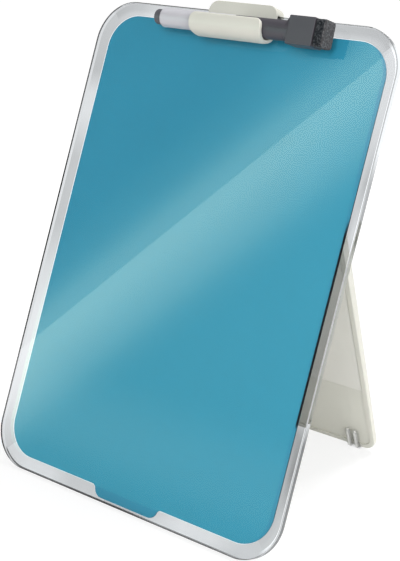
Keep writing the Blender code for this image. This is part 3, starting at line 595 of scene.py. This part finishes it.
    def painted_bevel_highlight(self, graph: Graph, x: object, y: object, z: object) -> bpy.types.NodeSocket:
        """Find the front bevel at the lower right, made a pale opaque grey that the lamps light, as a
        painted highlight.

        Args:
            graph: The material's graph.
            x: Distance to the right of the board's middle, in metres.
            y: Depth behind the front face, in metres.
            z: Height above the board's lower edge, in metres.

        Returns:
            1 on that bevel, else 0.
        """
        bevel = graph.math("LESS_THAN", y, 0.6 * self.edge_radius)
        start, end = (share * self.axes.height for share in self.bevel_highlight_to)
        low = graph.step(z, start, end, 1.0, 0.0)
        right = self.right_only(graph, x, z, self.corner_blend)
        return graph.math("MULTIPLY", bevel, graph.math("MULTIPLY", low, right))

    def clear_share(self, graph: Graph, x: object, z: object) -> bpy.types.NodeSocket:
        """Find where the back carries neither grey nor painted shade: at the panel, at its tab and under
        the right edge.

        Args:
            graph: The material's graph.
            x: Distance to the right of the board's middle, in metres.
            z: Height above the board's lower edge, in metres.

        Returns:
            1 in those places, else 0.
        """
        rim = self.axes.rim
        soft = 0.15 * MM
        gap = graph.math("SUBTRACT", self.axes.outside(graph, x, z, rim, PANEL_CORNER), 0.20 * MM)
        panel = graph.step(gap, -soft, soft, 1.0, 0.0)
        widen = graph.ramp(graph.math("DIVIDE", z, rim), self.tab_half_widths)
        inside_tab = graph.math("LESS_THAN", graph.math("ABSOLUTE", x), widen)
        above_end = graph.math("GREATER_THAN", z, self.tab_end)
        below_panel = graph.math("LESS_THAN", z, rim + MM)
        tab = graph.math("MULTIPLY", graph.math("MULTIPLY", inside_tab, above_end), below_panel)
        border = graph.step(self.axes.outside(graph, x, z, 0.0, self.corner), -3.0 * MM, -2.8 * MM)
        seen = graph.math("MULTIPLY", border, self.right_only(graph, x, z, 2 * self.corner_blend))
        return graph.math("MAXIMUM", graph.math("MAXIMUM", panel, tab), seen)

    def painted_leg_shade(self, graph: Graph, x: object, z: object) -> bpy.types.NodeSocket:
        """Find the painted shade line along the panel's right edge, a dark line where the leg is behind
        it.

        Args:
            graph: The material's graph.
            x: Distance to the right of the board's middle, in metres.
            z: Height above the board's lower edge, in metres.

        Returns:
            1 on the line, else 0.
        """
        low, high = self.painted_leg_shade_span
        gap = self.axes.outside(graph, x, z, self.axes.rim, PANEL_CORNER)
        starts = graph.step(gap, -1.0 * MM, -0.8 * MM)
        line = graph.math("MULTIPLY", starts, graph.step(gap, 0.25 * MM, 0.45 * MM, 1.0, 0.0))
        above = graph.step(z, low - 3 * MM, low + MM)
        span = graph.math("MULTIPLY", above, graph.step(z, high - 14 * MM, high, 1.0, 0.0))
        right = self.right_only(graph, x, z, self.corner_blend)
        return graph.math("MULTIPLY", graph.math("MULTIPLY", line, span), right)

    def build(self) -> bpy.types.Material:
        """Lay the clear body, the grey of this face with its painted light and shade, its polish and the
        way through for lamp rays.

        Returns:
            The material.
        """
        material, graph, shader = self.start()
        x, y, z = graph.split()
        smear = graph.noise(60.0, 2.0)
        if self.face is SheetFace.FRONT:
            level = graph.blend(smear, 0.985, 1.0)
        elif self.face is SheetFace.BACK:
            # The rim's grey with its painted light and shade, left out over the panel.
            level = graph.blend(self.clear_share(graph, x, z), self.rim_level(graph, x, z), 1.0)
            # Painted shade: a dark line along the panel's right edge where the leg is behind it.
            level = graph.blend(self.painted_leg_shade(graph, x, z), level, self.painted_leg_shade_level)
        else:
            # Painted light and shade along the sheet's edge.
            level = self.edge_level(graph, x, y, z)
        colour = graph.add("CombineColor")
        for socket, share in zip(colour.inputs, self.cool):
            graph.feed(socket, graph.math("POWER", graph.math("MULTIPLY", level, share), 2.0))
        # This colour is the glass's grey with the painted light and shade laid in.
        tint_and_painted_light = colour.outputs["Color"]
        if self.face is SheetFace.EDGE:
            # Painted highlight: a pale opaque strip on the lower right front bevel, lit by the lamps.
            painted_bevel_highlight = self.painted_bevel_highlight(graph, x, y, z)
            tint_and_painted_light = graph.mix(painted_bevel_highlight, tint_and_painted_light, self.bevel_highlight_colour)
            graph.feed(shader.inputs["Transmission Weight"], graph.math("SUBTRACT", 1.0, painted_bevel_highlight))
        else:
            shader.inputs["Transmission Weight"].default_value = 1.0
        graph.feed(shader.inputs["Base Color"], tint_and_painted_light)
        graph.feed(shader.inputs["Roughness"], graph.blend(smear, 0.01, 0.03))
        shader.inputs["IOR"].default_value = self.body_ior
        shader.inputs["Coat Weight"].default_value = 1.0 if self.face is SheetFace.FRONT else 0.0
        shader.inputs["Coat IOR"].default_value = self.coat_ior
        shader.inputs["Coat Roughness"].default_value = self.coat_roughness
        through = graph.add("BsdfTransparent")
        graph.feed(through.inputs["Color"], tint_and_painted_light)
        mixer = graph.add("MixShader")
        graph.feed(mixer.inputs[0], graph.add("LightPath").outputs["Is Shadow Ray"])
        graph.feed(mixer.inputs[1], shader.outputs["BSDF"])
        graph.feed(mixer.inputs[2], through.outputs["BSDF"])
        output = next(n for n in material.node_tree.nodes if n.type == "OUTPUT_MATERIAL")
        graph.feed(output.inputs["Surface"], mixer.outputs["Shader"])
        return material


@dataclass(frozen=True)
class ClearSilicone(Finish):
    """Clear rubber, a little cloudy; its thick ribs are cloudier, and their white also stands in as a
    painted highlight.
    """

    rib_centre: float
    rib_offset: float = 2.8 * MM
    rib_half_width: float = 1.0 * MM
    colour: Colour = (0.975, 0.98, 0.975)
    haze_share: float = 0.05
    rib_highlight_haze: float = 0.80
    ior: float = 1.08

    def build(self) -> bpy.types.Material:
        """Lay the hazy body and its ribs, brighter by painted highlight.

        Returns:
            The material.
        """
        material, graph, shader = self.start()
        from_foot = graph.math("SUBTRACT", graph.math("ABSOLUTE", graph.split()[0]), self.rib_centre)
        from_rib = graph.math("SUBTRACT", graph.math("ABSOLUTE", from_foot), self.rib_offset)
        inner, outer = 0.7 * self.rib_half_width, 1.1 * self.rib_half_width
        # Painted highlight: the ribs turn cloudy white, so that they light up as bright strokes.
        rib_highlight = graph.step(graph.math("ABSOLUTE", from_rib), inner, outer, 1.0, 0.0)
        haze = graph.noise(420.0, 3.0)
        low = tuple(c * 0.97 for c in self.colour)
        graph.feed(shader.inputs["Base Color"], graph.mix(haze, low, self.colour))
        graph.feed(shader.inputs["Roughness"], graph.blend(haze, 0.16, 0.30))
        graph.feed(shader.inputs["Normal"], graph.bump(haze, 0.04 * MM))
        clear = graph.blend(rib_highlight, 1 - self.haze_share, 1 - self.rib_highlight_haze)
        graph.feed(shader.inputs["Transmission Weight"], clear)
        shader.inputs["IOR"].default_value = self.ior
        return material


@dataclass(frozen=True)
class FoamTape(Finish):
    """White foam tape with fine open cells."""

    colour: Colour = (0.78, 0.78, 0.77)

    def build(self) -> bpy.types.Material:
        """Lay the cells.

        Returns:
            The material.
        """
        material, graph, shader = self.start()
        cells = graph.add("TexVoronoi")
        graph.feed(cells.inputs["Vector"], graph.place())
        cells.inputs["Scale"].default_value = 3500.0
        hollow = cells.outputs["Distance"]
        shade = tuple(c * 0.8 for c in self.colour)
        graph.feed(shader.inputs["Base Color"], graph.mix(hollow, self.colour, shade))
        graph.feed(shader.inputs["Normal"], graph.bump(hollow, 0.06 * MM))
        shader.inputs["Roughness"].default_value = 0.9
        return material


@dataclass(frozen=True)
class GroundSteel(Finish):
    """Steel rod, ground round its axis."""

    colour: Colour = (0.60, 0.60, 0.59)

    def build(self) -> bpy.types.Material:
        """Lay the grinding marks, which run round the rod.

        Returns:
            The material.
        """
        material, graph, shader = self.start()
        marks = graph.noise(900.0, 4.0, (6.0, 0.4, 0.4))
        low = tuple(c * 0.85 for c in self.colour)
        graph.feed(shader.inputs["Base Color"], graph.mix(marks, low, self.colour))
        graph.feed(shader.inputs["Roughness"], graph.blend(marks, 0.22, 0.38))
        graph.feed(shader.inputs["Normal"], graph.bump(marks, 0.01 * MM))
        shader.inputs["Metallic"].default_value = 1.0
        return material


@dataclass(frozen=True)
class InkFibre(Finish):
    """Bundled fibres soaked with dark ink, which run along the marker."""

    colour: Colour = (0.020, 0.020, 0.026)

    def build(self) -> bpy.types.Material:
        """Lay the fibres.

        Returns:
            The material.
        """
        material, graph, shader = self.start()
        fibres = graph.noise(2400.0, 3.0, (0.08, 1.0, 1.0))
        light = tuple(c * 2.4 for c in self.colour)
        graph.feed(shader.inputs["Base Color"], graph.mix(fibres, self.colour, light))
        graph.feed(shader.inputs["Normal"], graph.bump(fibres, 0.08 * MM))
        shader.inputs["Roughness"].default_value = 0.7
        return material


@dataclass(frozen=True)
class PressedFelt(Finish):
    """Dark pressed felt, paler on the end that wipes the board."""

    pale_from: float
    colour: Colour = (0.008, 0.011, 0.014)
    bloom: Colour = (0.085, 0.090, 0.098)
    pale_end_colour: Colour = (0.050, 0.050, 0.053)
    pale_end_bloom: Colour = (0.150, 0.150, 0.156)

    def build(self) -> bpy.types.Material:
        """Lay the matted fibres, their bloom and the paler end.

        Returns:
            The material.
        """
        material, graph, shader = self.start()
        # The felt turns paler over its last millimetre, up to its right end.
        toward_pale_end = graph.step(graph.split()[0], self.pale_from - 0.5 * MM, self.pale_from)
        tufts = graph.noise(820.0, 6.0)
        fibres = graph.noise(2600.0, 4.0, (1.0, 0.6, 0.6))
        loose = graph.math("MULTIPLY", graph.step(tufts, 0.40, 0.66), graph.step(fibres, 0.32, 0.62))
        main_felt = graph.mix(loose, self.colour, self.bloom)
        pale_felt = graph.mix(loose, self.pale_end_colour, self.pale_end_bloom)
        graph.feed(shader.inputs["Base Color"], graph.mix(toward_pale_end, main_felt, pale_felt))
        height = graph.math("MULTIPLY_ADD", tufts, 0.6, graph.math("MULTIPLY", fibres, 0.4))
        graph.feed(shader.inputs["Normal"], graph.bump(height, 0.35 * MM))
        shader.inputs["Roughness"].default_value = 0.95
        shader.inputs["Sheen Weight"].default_value = 0.15
        shader.inputs["Sheen Roughness"].default_value = 0.5
        shader.inputs["Specular IOR Level"].default_value = 0.1
        return material


def dress(node: str, material: bpy.types.Material) -> bpy.types.Object:
    """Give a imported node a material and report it.

    Args:
        node: The node's name.
        material: The finish.

    Returns:
        The node's object.
    """
    thing = frame["nodes"][node]
    thing.data.materials.clear()
    thing.data.materials.append(material)
    log.info("%s wears %s", node, material.name)
    return thing


def soften(thing: bpy.types.Object, radius: float, angle: float = 28.0) -> None:
    """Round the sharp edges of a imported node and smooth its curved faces, by modifiers alone.

    Args:
        thing: The node's object; its mesh stays as packed.
        radius: Radius of the rounded edges in metres; 0 only smooths.
        angle: Edges sharper than this, in degrees, are rounded.
    """
    mesh = thing.data
    if mesh.has_custom_normals:
        mesh.attributes.remove(mesh.attributes["custom_normal"])
    for polygon in mesh.polygons:
        polygon.use_smooth = True
    for edge in mesh.edges:
        edge.use_edge_sharp = False
    weld = thing.modifiers.new("weld", "WELD")
    weld.merge_threshold = WELD
    flat = thing.modifiers.new("flat", "DECIMATE")
    flat.decimate_type = "DISSOLVE"
    flat.angle_limit = math.radians(0.6)
    if radius > 0:
        rounding = thing.modifiers.new("rounding", "BEVEL")
        rounding.width = radius
        rounding.segments = 2
        rounding.limit_method = "ANGLE"
        rounding.angle_limit = math.radians(angle)
        rounding.miter_outer = "MITER_ARC"
    split = thing.modifiers.new("split", "EDGE_SPLIT")
    split.split_angle = math.radians(angle)
    normals = thing.modifiers.new("normals", "WEIGHTED_NORMAL")
    normals.keep_sharp = True


def new_object(name: str, build: bmesh.types.BMesh, place: Matrix) -> bpy.types.Object:
    """Turn a finished mesh into an object of the scene.

    Args:
        name: The object's name.
        build: The mesh, in the object's own axes; it is freed here.
        place: Where those axes lie.

    Returns:
        The new object.
    """
    mesh = bpy.data.meshes.new(name)
    build.to_mesh(mesh)
    build.free()
    thing = bpy.data.objects.new(name, mesh)
    bpy.context.scene.collection.objects.link(thing)
    thing.matrix_world = place
    return thing


def new_piece(name: str, body: Body, build: bmesh.types.BMesh, place: Matrix) -> bpy.types.Object:
    """Turn a finished mesh into a smooth-shaded piece that rides on a body.

    Args:
        name: The piece's name.
        body: The body that carries it.
        build: The mesh, in the piece's own axes; it is freed here.
        place: Where those axes lie.

    Returns:
        The new piece.
    """
    piece = new_object(name, build, place)
    for polygon in piece.data.polygons:
        polygon.use_smooth = True
    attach(piece, body.value)
    log.info("%s made, %d faces, rides on %s", name, len(piece.data.polygons), body.value)
    return piece


def remake(piece: bpy.types.Object, voxel: float, passes: int) -> None:
    """Remesh a piece finely and smooth it, by modifiers.

    Args:
        piece: The piece.
        voxel: Size of the new faces, in metres.
        passes: How many times they are smoothed.
    """
    remesh = piece.modifiers.new("remesh", "REMESH")
    remesh.mode = "VOXEL"
    remesh.voxel_size = voxel
    remesh.use_smooth_shade = True
    smooth = piece.modifiers.new("smooth", "SMOOTH")
    smooth.factor = 0.5
    smooth.iterations = passes


def welded(node: str) -> bmesh.types.BMesh:
    """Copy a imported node's mesh as one closed mesh.

    Args:
        node: The node's name.

    Returns:
        The copy.
    """
    build = bmesh.new()
    build.from_mesh(frame["nodes"][node].data)
    bmesh.ops.remove_doubles(build, verts=build.verts, dist=WELD)
    return build


@dataclass
class WritingBoard:
    """Clear sheet, blue panel and the tape behind it."""

    axes: BoardAxes
    corner_radius: float = 27.0 * MM
    edge_radius: float = 0.55 * MM
    edge_steps: int = 3
    corner_steps: int = 24

    def outline(self, inset: float) -> list[tuple[float, float]]:
        """Draw the sheet's outline.

        Args:
            inset: How far it is drawn in, in metres.

        Returns:
            Its points, counter-clockwise from the lower right, as x and z on the board.
        """
        radius = self.corner_radius - inset
        x = self.axes.width / 2 - self.corner_radius
        low, high = self.corner_radius, self.axes.height - self.corner_radius
        points = []
        for centre, start in (((x, low), 270), ((x, high), 0), ((-x, high), 90), ((-x, low), 180)):
            for step in range(self.corner_steps + 1):
                angle = math.radians(start + 90 * step / self.corner_steps)
                across, up = radius * math.cos(angle), radius * math.sin(angle)
                points.append((centre[0] + across, centre[1] + up))
        return points

    def sheet_mesh(self) -> bmesh.types.BMesh:
        """Build the sheet as a stack of outlines that round its front and back edges.

        Returns:
            The mesh in the board's axes; its materials are front, back and edge.
        """
        build = bmesh.new()
        depth = self.axes.thickness
        layers = []
        for step in range(self.edge_steps + 1):
            angle = math.radians(90 * step / self.edge_steps)
            inset = self.edge_radius * (1 - math.sin(angle))
            layers.append((inset, self.edge_radius * (1 - math.cos(angle))))
        layers += [(inset, depth - y) for inset, y in reversed(layers)]
        rings = [[build.verts.new((x, y, z)) for x, z in self.outline(inset)] for inset, y in layers]
        count = len(rings[0])
        for low, high in zip(rings, rings[1:]):
            for i in range(count):
                face = build.faces.new((low[i], low[(i + 1) % count], high[(i + 1) % count], high[i]))
                face.material_index = 2
        build.faces.new(rings[0])
        build.faces.new(list(reversed(rings[-1]))).material_index = 1
        bmesh.ops.recalc_face_normals(build, faces=build.faces)
        return build

    def build(self) -> None:
        """Make the sheet and dress the panel and its tape."""
        sheet = new_piece("clear_sheet", Body.BOARD, self.sheet_mesh(), self.axes.matrix)
        for face in SheetFace:
            name = f"clear_glass_{face.value}"
            finish = ClearSheet(name, self.axes, face, self.corner_radius, self.edge_radius)
            sheet.data.materials.append(finish.build())
        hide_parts("glass_sheet")
        normals = sheet.modifiers.new("normals", "WEIGHTED_NORMAL")
        normals.keep_sharp = True
        blue = PanelSheet(
            "blue_sheet",
            colour=(0.0265, 0.268, 0.388),
            # The cut edge's colours are painted shade, the second near black in front of the leg.
            edge_shade_colour=(0.02, 0.15, 0.19),
            shaded_edge=(0.001, 0.02, 0.03),
            half_width=self.axes.width / 2 - self.axes.rim - 0.02 * MM,
        ).build()
        soften(dress("colour_panel", blue), 0.0)
        foam = FoamTape("foam_tape").build()
        for side in ("left", "right", "bottom", "top"):
            soften(dress(f"bonding_tape_{side}", foam), 0.0)


@dataclass
class RearSupport:
    """Rear cover, folding leg, hinge pin and feet."""

    edge_radius: float = 0.35 * MM
    foot_edge_radius: float = 0.15 * MM
    shell_colour: Colour = (0.765, 0.765, 0.692)
    liner_colour: Colour = (0.850, 0.845, 0.790)

    def build(self) -> None:
        """Dress each node and round its moulded edges."""
        shell = MouldedPlastic("leg_cream_plastic", self.shell_colour, 0.42, cloud_share=0.015).build()
        liner = MouldedPlastic("liner_cream_plastic", self.liner_colour, 0.45, cloud_share=0.015).build()
        for node in ("rear_cover", "leg_shell"):
            soften(dress(node, shell), self.edge_radius)
        soften(dress("leg_liner", liner), self.edge_radius)
        soften(dress("hinge_pin", GroundSteel("ground_steel").build()), 0.0)
        low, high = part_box("leg_foot_right")
        silicone = ClearSilicone("clear_silicone", (low.x + high.x) / 2).build()
        for node in ("leg_foot_left", "leg_foot_right", "front_foot"):
            soften(dress(node, silicone), self.foot_edge_radius)


@dataclass
class PenHolder:
    """Moulded holder with soft edges all round."""

    cream: bpy.types.Material
    voxel: float = 0.25 * MM
    smooth_passes: int = 10
    kept_share: float = 0.25

    def build(self) -> None:
        """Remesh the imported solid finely, soften it and thin it out."""
        holder = new_piece("moulded_pen_holder", Body.HOLDER, welded("pen_holder"), Matrix.Identity(4))
        remake(holder, self.voxel, self.smooth_passes)
        thin = holder.modifiers.new("thin", "DECIMATE")
        thin.ratio = self.kept_share
        holder.data.materials.append(self.cream)
        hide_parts("pen_holder")


@dataclass
class Marker:
    """Barrel, tail plug, ink core, nose and nib."""

    edge_radius: float = 0.12 * MM
    barrel_colour: Colour = (0.545, 0.543, 0.578)
    plug_colour: Colour = (0.092, 0.091, 0.105)
    nose_colour: Colour = (0.060, 0.061, 0.070)

    def build(self) -> None:
        """Dress each node."""
        pale = MouldedPlastic("pale_grey_plastic", self.barrel_colour, 0.34, 0.008 * MM, cloud_share=0.02)
        plug = MouldedPlastic("plug_grey_plastic", self.plug_colour, 0.48)
        dark = MouldedPlastic("dark_grey_plastic", self.nose_colour, 0.48)
        ink = InkFibre("ink_fibre").build()
        for node, finish in (("marker_barrel", pale), ("marker_tail_plug", plug), ("marker_nose", dark)):
            soften(dress(node, finish.build()), self.edge_radius)
        for node in ("ink_reservoir", "marker_nib"):
            soften(dress(node, ink), 0.0)


@dataclass
class Cap:
    """Cap with its box and the felt eraser in it."""

    edge_radius: float = 0.15 * MM
    cap_colour: Colour = (0.060, 0.056, 0.068)
    voxel: float = 0.25 * MM
    smooth_passes: int = 4
    tuft_size: float = 0.9 * MM
    tuft_height: float = 0.22 * MM

    def build(self) -> None:
        """Dress the cap and make its felt."""
        dark = MouldedPlastic("cap_grey_plastic", self.cap_colour, 0.46).build()
        soften(dress("cap_shell", dark), self.edge_radius)
        felt = new_piece("pressed_felt", Body.CAP, welded("eraser_felt"), Matrix.Identity(4))
        remake(felt, self.voxel, self.smooth_passes)
        tufts = bpy.data.textures.new("felt_tufts", "CLOUDS")
        tufts.noise_scale = self.tuft_size
        rough = felt.modifiers.new("rough", "DISPLACE")
        rough.texture = tufts
        rough.texture_coords = "LOCAL"
        rough.strength = self.tuft_height
        rough.mid_level = 0.6
        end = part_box("eraser_felt")[1].x
        felt.data.materials.append(PressedFelt("pressed_felt", end - 0.5 * MM).build())
        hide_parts("eraser_felt")


@dataclass(frozen=True)
class StreakOfLight(Finish):
    """Glow of the card that the glass mirrors: a slanted streak with one crisp edge, and a low band.

    It glows in one colour where the panel mirrors it and in another where the rim does.
    """

    axes: BoardAxes
    dim: float
    slope: float = 1.04
    foot: float = 0.1915
    reach: float = 0.120
    profile: Stops = (
        (0.225, 0.0), (0.265, 0.06), (0.291, 0.14), (0.318, 0.29), (0.372, 0.59), (0.426, 0.84),
        (0.455, 0.97), (0.504, 1.0), (0.516, 1.0), (0.530, 0.92), (0.541, 0.80), (0.558, 0.59),
        (0.582, 0.34), (0.612, 0.14), (0.700, 0.0))
    crisp_edge: tuple[float, float] = (-1.0 * MM, -0.6 * MM)
    beyond_edge: float = 0.50
    band_level: float = 0.13
    panel_level: Colour = (0.52, 1.36, 1.26)
    rim_level: Colour = (0.40, 0.40, 0.42)
    panel_glare: float = 5.75
    panel_glare_colour: Colour = (0.70, 1.0, 0.81)
    rim_glare: Colour = (3.3, 3.3, 3.45)

    def build(self) -> bpy.types.Material:
        """Lay the streak, the band and what lies above and below them.

        Returns:
            The material.
        """
        material, graph = empty_material(self.name)
        x, _, z = graph.split()
        line = graph.math("ADD", graph.math("MULTIPLY", x, self.slope), self.foot)
        across = graph.math("DIVIDE", graph.math("SUBTRACT", z, line), math.hypot(self.slope, 1.0))
        share = graph.math("ADD", across, self.reach)
        share = graph.math("DIVIDE", share, 2 * self.reach, clamp=True)
        edge = graph.step(across, *self.crisp_edge, 1.0, self.beyond_edge)
        streak = graph.math("MULTIPLY", graph.ramp(share, self.profile), edge)
        rise = graph.step(z, 10 * MM, 36 * MM)
        band = graph.math("MINIMUM", rise, graph.step(z, 46 * MM, 84 * MM, 1.0, 0.0))
        light = graph.math("ADD", streak, graph.math("MULTIPLY", band, self.band_level))
        below = graph.step(across, -30 * MM, 70 * MM, 1.0, 0.0)
        gap = self.axes.outside(graph, x, z, self.axes.rim, PANEL_CORNER)
        on_panel = graph.step(gap, -0.3 * MM, 0.3 * MM, 1.0, 0.0)
        lower = graph.mix(on_panel, self.rim_level, self.panel_level)
        studio = graph.mix(below, (self.dim,) * 3, lower)
        bright = tuple(self.panel_glare * c for c in self.panel_glare_colour)
        glare = graph.mix(on_panel, self.rim_glare, bright)
        glow = graph.add("Emission")
        graph.feed(glow.inputs["Color"], graph.mix(light, studio, glare))
        graph.end("OutputMaterial", glow.outputs["Emission"])
        return material


@dataclass(frozen=True)
class PaleFloor(Finish):
    """Pale floor that keeps the object's soft shadow and turns white away from it."""

    lit: Colour = (0.86, 0.84, 0.83)
    seen: Colour = (0.31, 0.31, 0.31)
    near_glow: float = 0.77
    far_glow: float = 0.91
    fade: tuple[float, float] = (0.15, 0.75)

    def build(self) -> bpy.types.Material:
        """Lay the matt floor and the glow that only the camera, mirrors and glass see.

        Returns:
            The material.
        """
        material, graph = empty_material(self.name)
        depth = graph.add("LightPath").outputs["Diffuse Depth"]
        matt = graph.add("BsdfDiffuse")
        glow = graph.add("Emission")
        seen = graph.math("LESS_THAN", depth, 0.5)
        graph.feed(matt.inputs["Color"], graph.mix(seen, self.lit, self.seen))
        away = graph.add("VectorMath", operation="LENGTH")
        graph.feed(away.inputs[0], graph.place())
        haze = graph.step(away.outputs["Value"], *self.fade, self.near_glow, self.far_glow)
        graph.feed(glow.inputs["Strength"], graph.math("MULTIPLY", seen, haze))
        total = graph.add("AddShader")
        graph.feed(total.inputs[0], matt.outputs["BSDF"])
        graph.feed(total.inputs[1], glow.outputs["Emission"])
        graph.end("OutputMaterial", total.outputs["Shader"])
        return material


@dataclass(frozen=True)
class Lamp:
    """Soft square lamp; its level is how bright a white face turned to it becomes, on its own."""

    name: str
    direction: Colour
    distance: float
    size: float
    level: float

    def hang(self, centre: Vector) -> None:
        """Hang the lamp.

        Args:
            centre: The place that it points at.
        """
        data = bpy.data.lights.new(self.name, "AREA")
        data.shape = "SQUARE"
        data.size = self.size
        data.energy = self.level * math.pi**2 * self.distance**2
        thing = bpy.data.objects.new(self.name, data)
        bpy.context.scene.collection.objects.link(thing)
        aim = Vector(self.direction).normalized()
        thing.location = centre + aim * self.distance
        thing.rotation_euler = aim.to_track_quat("Z", "Y").to_euler()
        thing.visible_camera = False
        thing.visible_transmission = False
        log.info("%s hangs %.1f m off", self.name, self.distance)


@dataclass
class Studio:
    """Floor, world, lamps, the card of light that the glass mirrors, and the camera."""

    axes: BoardAxes
    camera_place: Vector
    camera_azimuth: float = 38.40
    camera_elevation: float = 19.69
    lens: float = 80.2
    floor_half_size: float = 30.0
    ambient: float = 0.54
    side_light: float = 1.20
    front_light: float = 0.40
    dark_above: float = 0.80
    mirrored_ceiling: float = 0.18
    object_share: float = 0.8
    lamps: tuple[Lamp, ...] = (
        Lamp("side_lamp", (0.92, -0.45, 0.12), 1.0, 0.4, 0.25),
        Lamp("front_lamp", (0.30, -0.86, 0.53), 1.0, 0.35, 0.31),
        Lamp("top_lamp", (0.10, 0.42, 0.92), 1.2, 0.5, 0.85),
    )

    def toward(self, graph: Graph, axis: Vector) -> bpy.types.NodeSocket:
        """Find how squarely a direction of the world points along an axis.

        Args:
            graph: The world's graph.
            axis: The axis, of length 1.

        Returns:
            1 along the axis, 0 square to it and beyond.
        """
        node = graph.add("VectorMath", operation="DOT_PRODUCT")
        graph.feed(node.inputs[0], graph.add("TexCoord").outputs["Generated"])
        node.inputs[1].default_value = axis
        return graph.math("MAXIMUM", node.outputs["Value"], 0.0)

    def world(self) -> None:
        """White for the camera and for glass, a darker ceiling in reflections, soft light from the right.

        Little of the light comes from above along the board, so that the pen shades it softly.
        """
        world = bpy.data.worlds.new("studio")
        bpy.context.scene.world = world
        world.use_nodes = True
        world.cycles.sampling_method = "NONE"
        graph = Graph(world.node_tree)
        path = graph.add("LightPath")
        split = graph.add("SeparateXYZ")
        graph.feed(split.inputs[0], graph.add("TexCoord").outputs["Generated"])
        ceiling = graph.step(split.outputs["Z"], 0.02, 0.25, 1.0, self.mirrored_ceiling)
        first = graph.math("LESS_THAN", path.outputs["Diffuse Depth"], 0.5)
        turn = self.axes.matrix.to_3x3()
        ahead = self.toward(graph, -turn.col[1])
        above = self.toward(graph, turn.col[2])
        around = graph.math("MULTIPLY_ADD", split.outputs["X"], self.side_light, 1.0)
        around = graph.math("MULTIPLY_ADD", ahead, self.front_light, around)
        around = graph.math("MULTIPLY_ADD", above, -self.dark_above, around)
        around = graph.math("MULTIPLY", graph.math("MAXIMUM", around, 0.0), self.ambient)
        level = graph.blend(path.outputs["Is Glossy Ray"], around, ceiling)
        level = graph.blend(path.outputs["Is Transmission Ray"], level, 1.0)
        level = graph.math("MULTIPLY", graph.blend(first, around, level), self.object_share)
        level = graph.blend(path.outputs["Is Camera Ray"], level, 1.0)
        background = graph.add("Background")
        graph.feed(background.inputs["Color"], WHITE)
        graph.feed(background.inputs["Strength"], level)
        graph.end("OutputWorld", background.outputs["Background"])

    def floor(self) -> None:
        """Lay the wide floor."""
        build = bmesh.new()
        bmesh.ops.create_grid(build, x_segments=1, y_segments=1, size=self.floor_half_size)
        floor = new_object("floor", build, Matrix.Identity(4))
        floor.data.materials.append(PaleFloor("pale_floor").build())

    def mirrored_light(self) -> None:
        """Hang the card in front of the board, seen only as the streak that the glass mirrors.

        It stands as far from the board as the camera does, twice the board's size, so that a
        place on it is mirrored at the same place on the board.
        """
        eye = self.axes.matrix.inverted() @ self.camera_place
        spot = self.axes.matrix @ Matrix.Translation((-eye.x, eye.y, -eye.z)) @ Matrix.Scale(2.0, 4)
        half = 0.75 * self.axes.width
        low, high = -0.25 * self.axes.height, 1.25 * self.axes.height
        build = bmesh.new()
        corners = ((-half, low), (half, low), (half, high), (-half, high))
        build.faces.new([build.verts.new((x, 0.0, z)) for x, z in corners])
        card = new_object("mirrored_light", build, spot)
        glow = StreakOfLight("mirrored_light", self.axes, self.mirrored_ceiling)
        card.data.materials.append(glow.build())
        for ray in ("camera", "diffuse", "transmission", "shadow", "volume_scatter"):
            setattr(card, f"visible_{ray}", False)

    def camera(self) -> None:
        """Set the camera at the photograph's place and angle."""
        data = bpy.data.cameras.new("camera")
        data.lens = self.lens
        data.sensor_width = 36.0
        data.sensor_fit = "AUTO"
        data.clip_start = 0.01
        thing = bpy.data.objects.new("camera", data)
        bpy.context.scene.collection.objects.link(thing)
        thing.location = self.camera_place
        pitch = math.radians(90.0 - self.camera_elevation)
        thing.rotation_euler = (pitch, 0.0, math.radians(self.camera_azimuth))
        bpy.context.scene.camera = thing

    def build(self) -> None:
        """Set up the whole studio."""
        self.world()
        self.floor()
        for lamp in self.lamps:
            lamp.hang(Vector((0.0, 0.0, self.axes.height / 2)))
        self.mirrored_light()
        self.camera()
        bpy.context.scene.view_settings.view_transform = "Standard"


def main() -> None:
    """Build each sub-assembly in turn, then the studio round it."""
    logging.basicConfig(level=logging.INFO, format="%(message)s")
    axes = BoardAxes.from_nodes("glass_sheet", "colour_panel", "holder_lift")
    cream = MouldedPlastic("cream_plastic", (0.665, 0.658, 0.590), 0.45, cloud_share=0.015).build()
    WritingBoard(axes).build()
    RearSupport().build()
    PenHolder(cream).build()
    Marker().build()
    Cap().build()
    Studio(axes, Vector(CAMERA_PLACE)).build()


if __name__ == "__main__":
    main()
